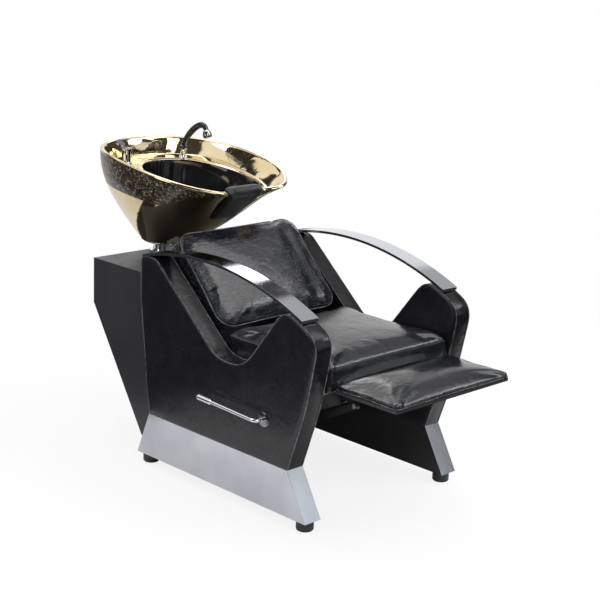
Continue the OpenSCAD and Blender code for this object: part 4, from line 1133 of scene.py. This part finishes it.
def add_world():
    world = bpy.data.worlds.new("studio")
    world.use_nodes = True
    SCENE.world = world
    tree = world.node_tree
    tree.nodes.clear()
    out = tree.nodes.new("ShaderNodeOutputWorld")
    path = tree.nodes.new("ShaderNodeLightPath")
    seen = tree.nodes.new("ShaderNodeMath")
    seen.operation = "MAXIMUM"
    tree.links.new(path.outputs["Is Camera Ray"], seen.inputs[0])
    tree.links.new(path.outputs["Is Transmission Ray"], seen.inputs[1])
    backdrop = background(tree, (1, 1, 1), 1.0)
    room = background(tree, (0.97, 0.98, 1), ROOM_LIGHT)
    studio = background(tree, (1, 1, 1), 1.0)
    tree.links.new(room_reflection(tree), studio.inputs["Color"])
    lit = tree.nodes.new("ShaderNodeMixShader")
    tree.links.new(path.outputs["Is Glossy Ray"], lit.inputs[0])
    tree.links.new(room.outputs[0], lit.inputs[1])
    tree.links.new(studio.outputs[0], lit.inputs[2])
    blend = tree.nodes.new("ShaderNodeMixShader")
    tree.links.new(seen.outputs[0], blend.inputs[0])
    tree.links.new(lit.outputs[0], blend.inputs[1])
    tree.links.new(backdrop.outputs[0], blend.inputs[2])
    tree.links.new(blend.outputs[0], out.inputs["Surface"])


def add_softbox(name, place, target, width, height, power, color=(1, 1, 1)):
    data = bpy.data.lights.new(name, "AREA")
    data.color = color
    data.shape = "RECTANGLE"
    data.size = width
    data.size_y = height
    data.energy = power
    lamp = link(bpy.data.objects.new(name, data))
    lamp.location = place
    lamp.rotation_mode = "QUATERNION"
    lamp.rotation_quaternion = (Vector(target) - Vector(place)).to_track_quat("-Z", "Y")


def add_flag(name, corners):
    """A black studio card on the floor that only reflections see."""
    points = [(x, y, CARD_HEIGHT) for x, y in corners]
    card = new_piece(name, points, [tuple(range(len(corners)))], [], smooth=False)
    card.data.materials.append(Shader(name, (0.01, 0.01, 0.01), 1.0).material)
    card.visible_camera = False
    card.visible_diffuse = False
    card.visible_shadow = False
    card.visible_transmission = False


def add_studio():
    add_floor()
    add_world()
    centre = (0, 0, 0.5)
    add_softbox("key", (-1.6, -2.6, 2.8), centre, 1.6, 1.6, 26)
    add_softbox("top_right", (1.05, -1.35, 2.9), centre, 2.1, 2.0, 36)
    add_softbox("top_back", (0.4, 0.9, 3.1), centre, 2.2, 1.0, 26)
    add_softbox("side", (-3.2, 0.9, 1.6), centre, 1.2, 2.0, 14)
    add_softbox("front_right", (1.85, -2.75, 1.35), centre, 1.5, 1.6, 6.8, (0.91, 0.99, 1))
    add_softbox("glint", (1.51, 1.46, 1.94), (-0.2, -0.4, 0.5), 0.45, 0.4, 2)
    add_softbox("edge", (2.18, -1.76, 2.0), (0, -0.4, 0.47), 0.7, 0.5, 8)
    add_flag("flag_left", [
        (-2.7, 0.1), (-0.85, 0.1), (-0.85, 0.5), (-0.42, 0.6), (-0.42, 1.3), (-0.66, 2.8), (-2.7, 2.8),
    ])
    add_flag("flag_rear", [(-0.5, 0.75), (1.4, 0.75), (1.4, 2.53), (-0.5, 1.0)])
    add_flag("flag_front", [(0.0, -2.8), (2.8, -2.8), (2.8, -0.8), (0.0, -0.9)])


finish_solids()
side_panel("side_panel_right", -1)
side_panel("side_panel_left", 1)
for side in ("right", "left"):
    eased(f"skirt_{side}", SHEET_EASE, "root", "polished_steel")
    eased(f"armrest_{side}", BAR_EASE, "root", "arm_steel")
    eased(f"cabinet_side_{side}", BOARD_EASE, "root", "cabinet_board")
eased("cabinet_top", TOP_EASE, "root", "cabinet_board")
seat_cushion()
backrest_cushion()
legrest_pad()
bowl()
neck_rest()
add_studio()

SCENE.view_settings.view_transform = "Standard"
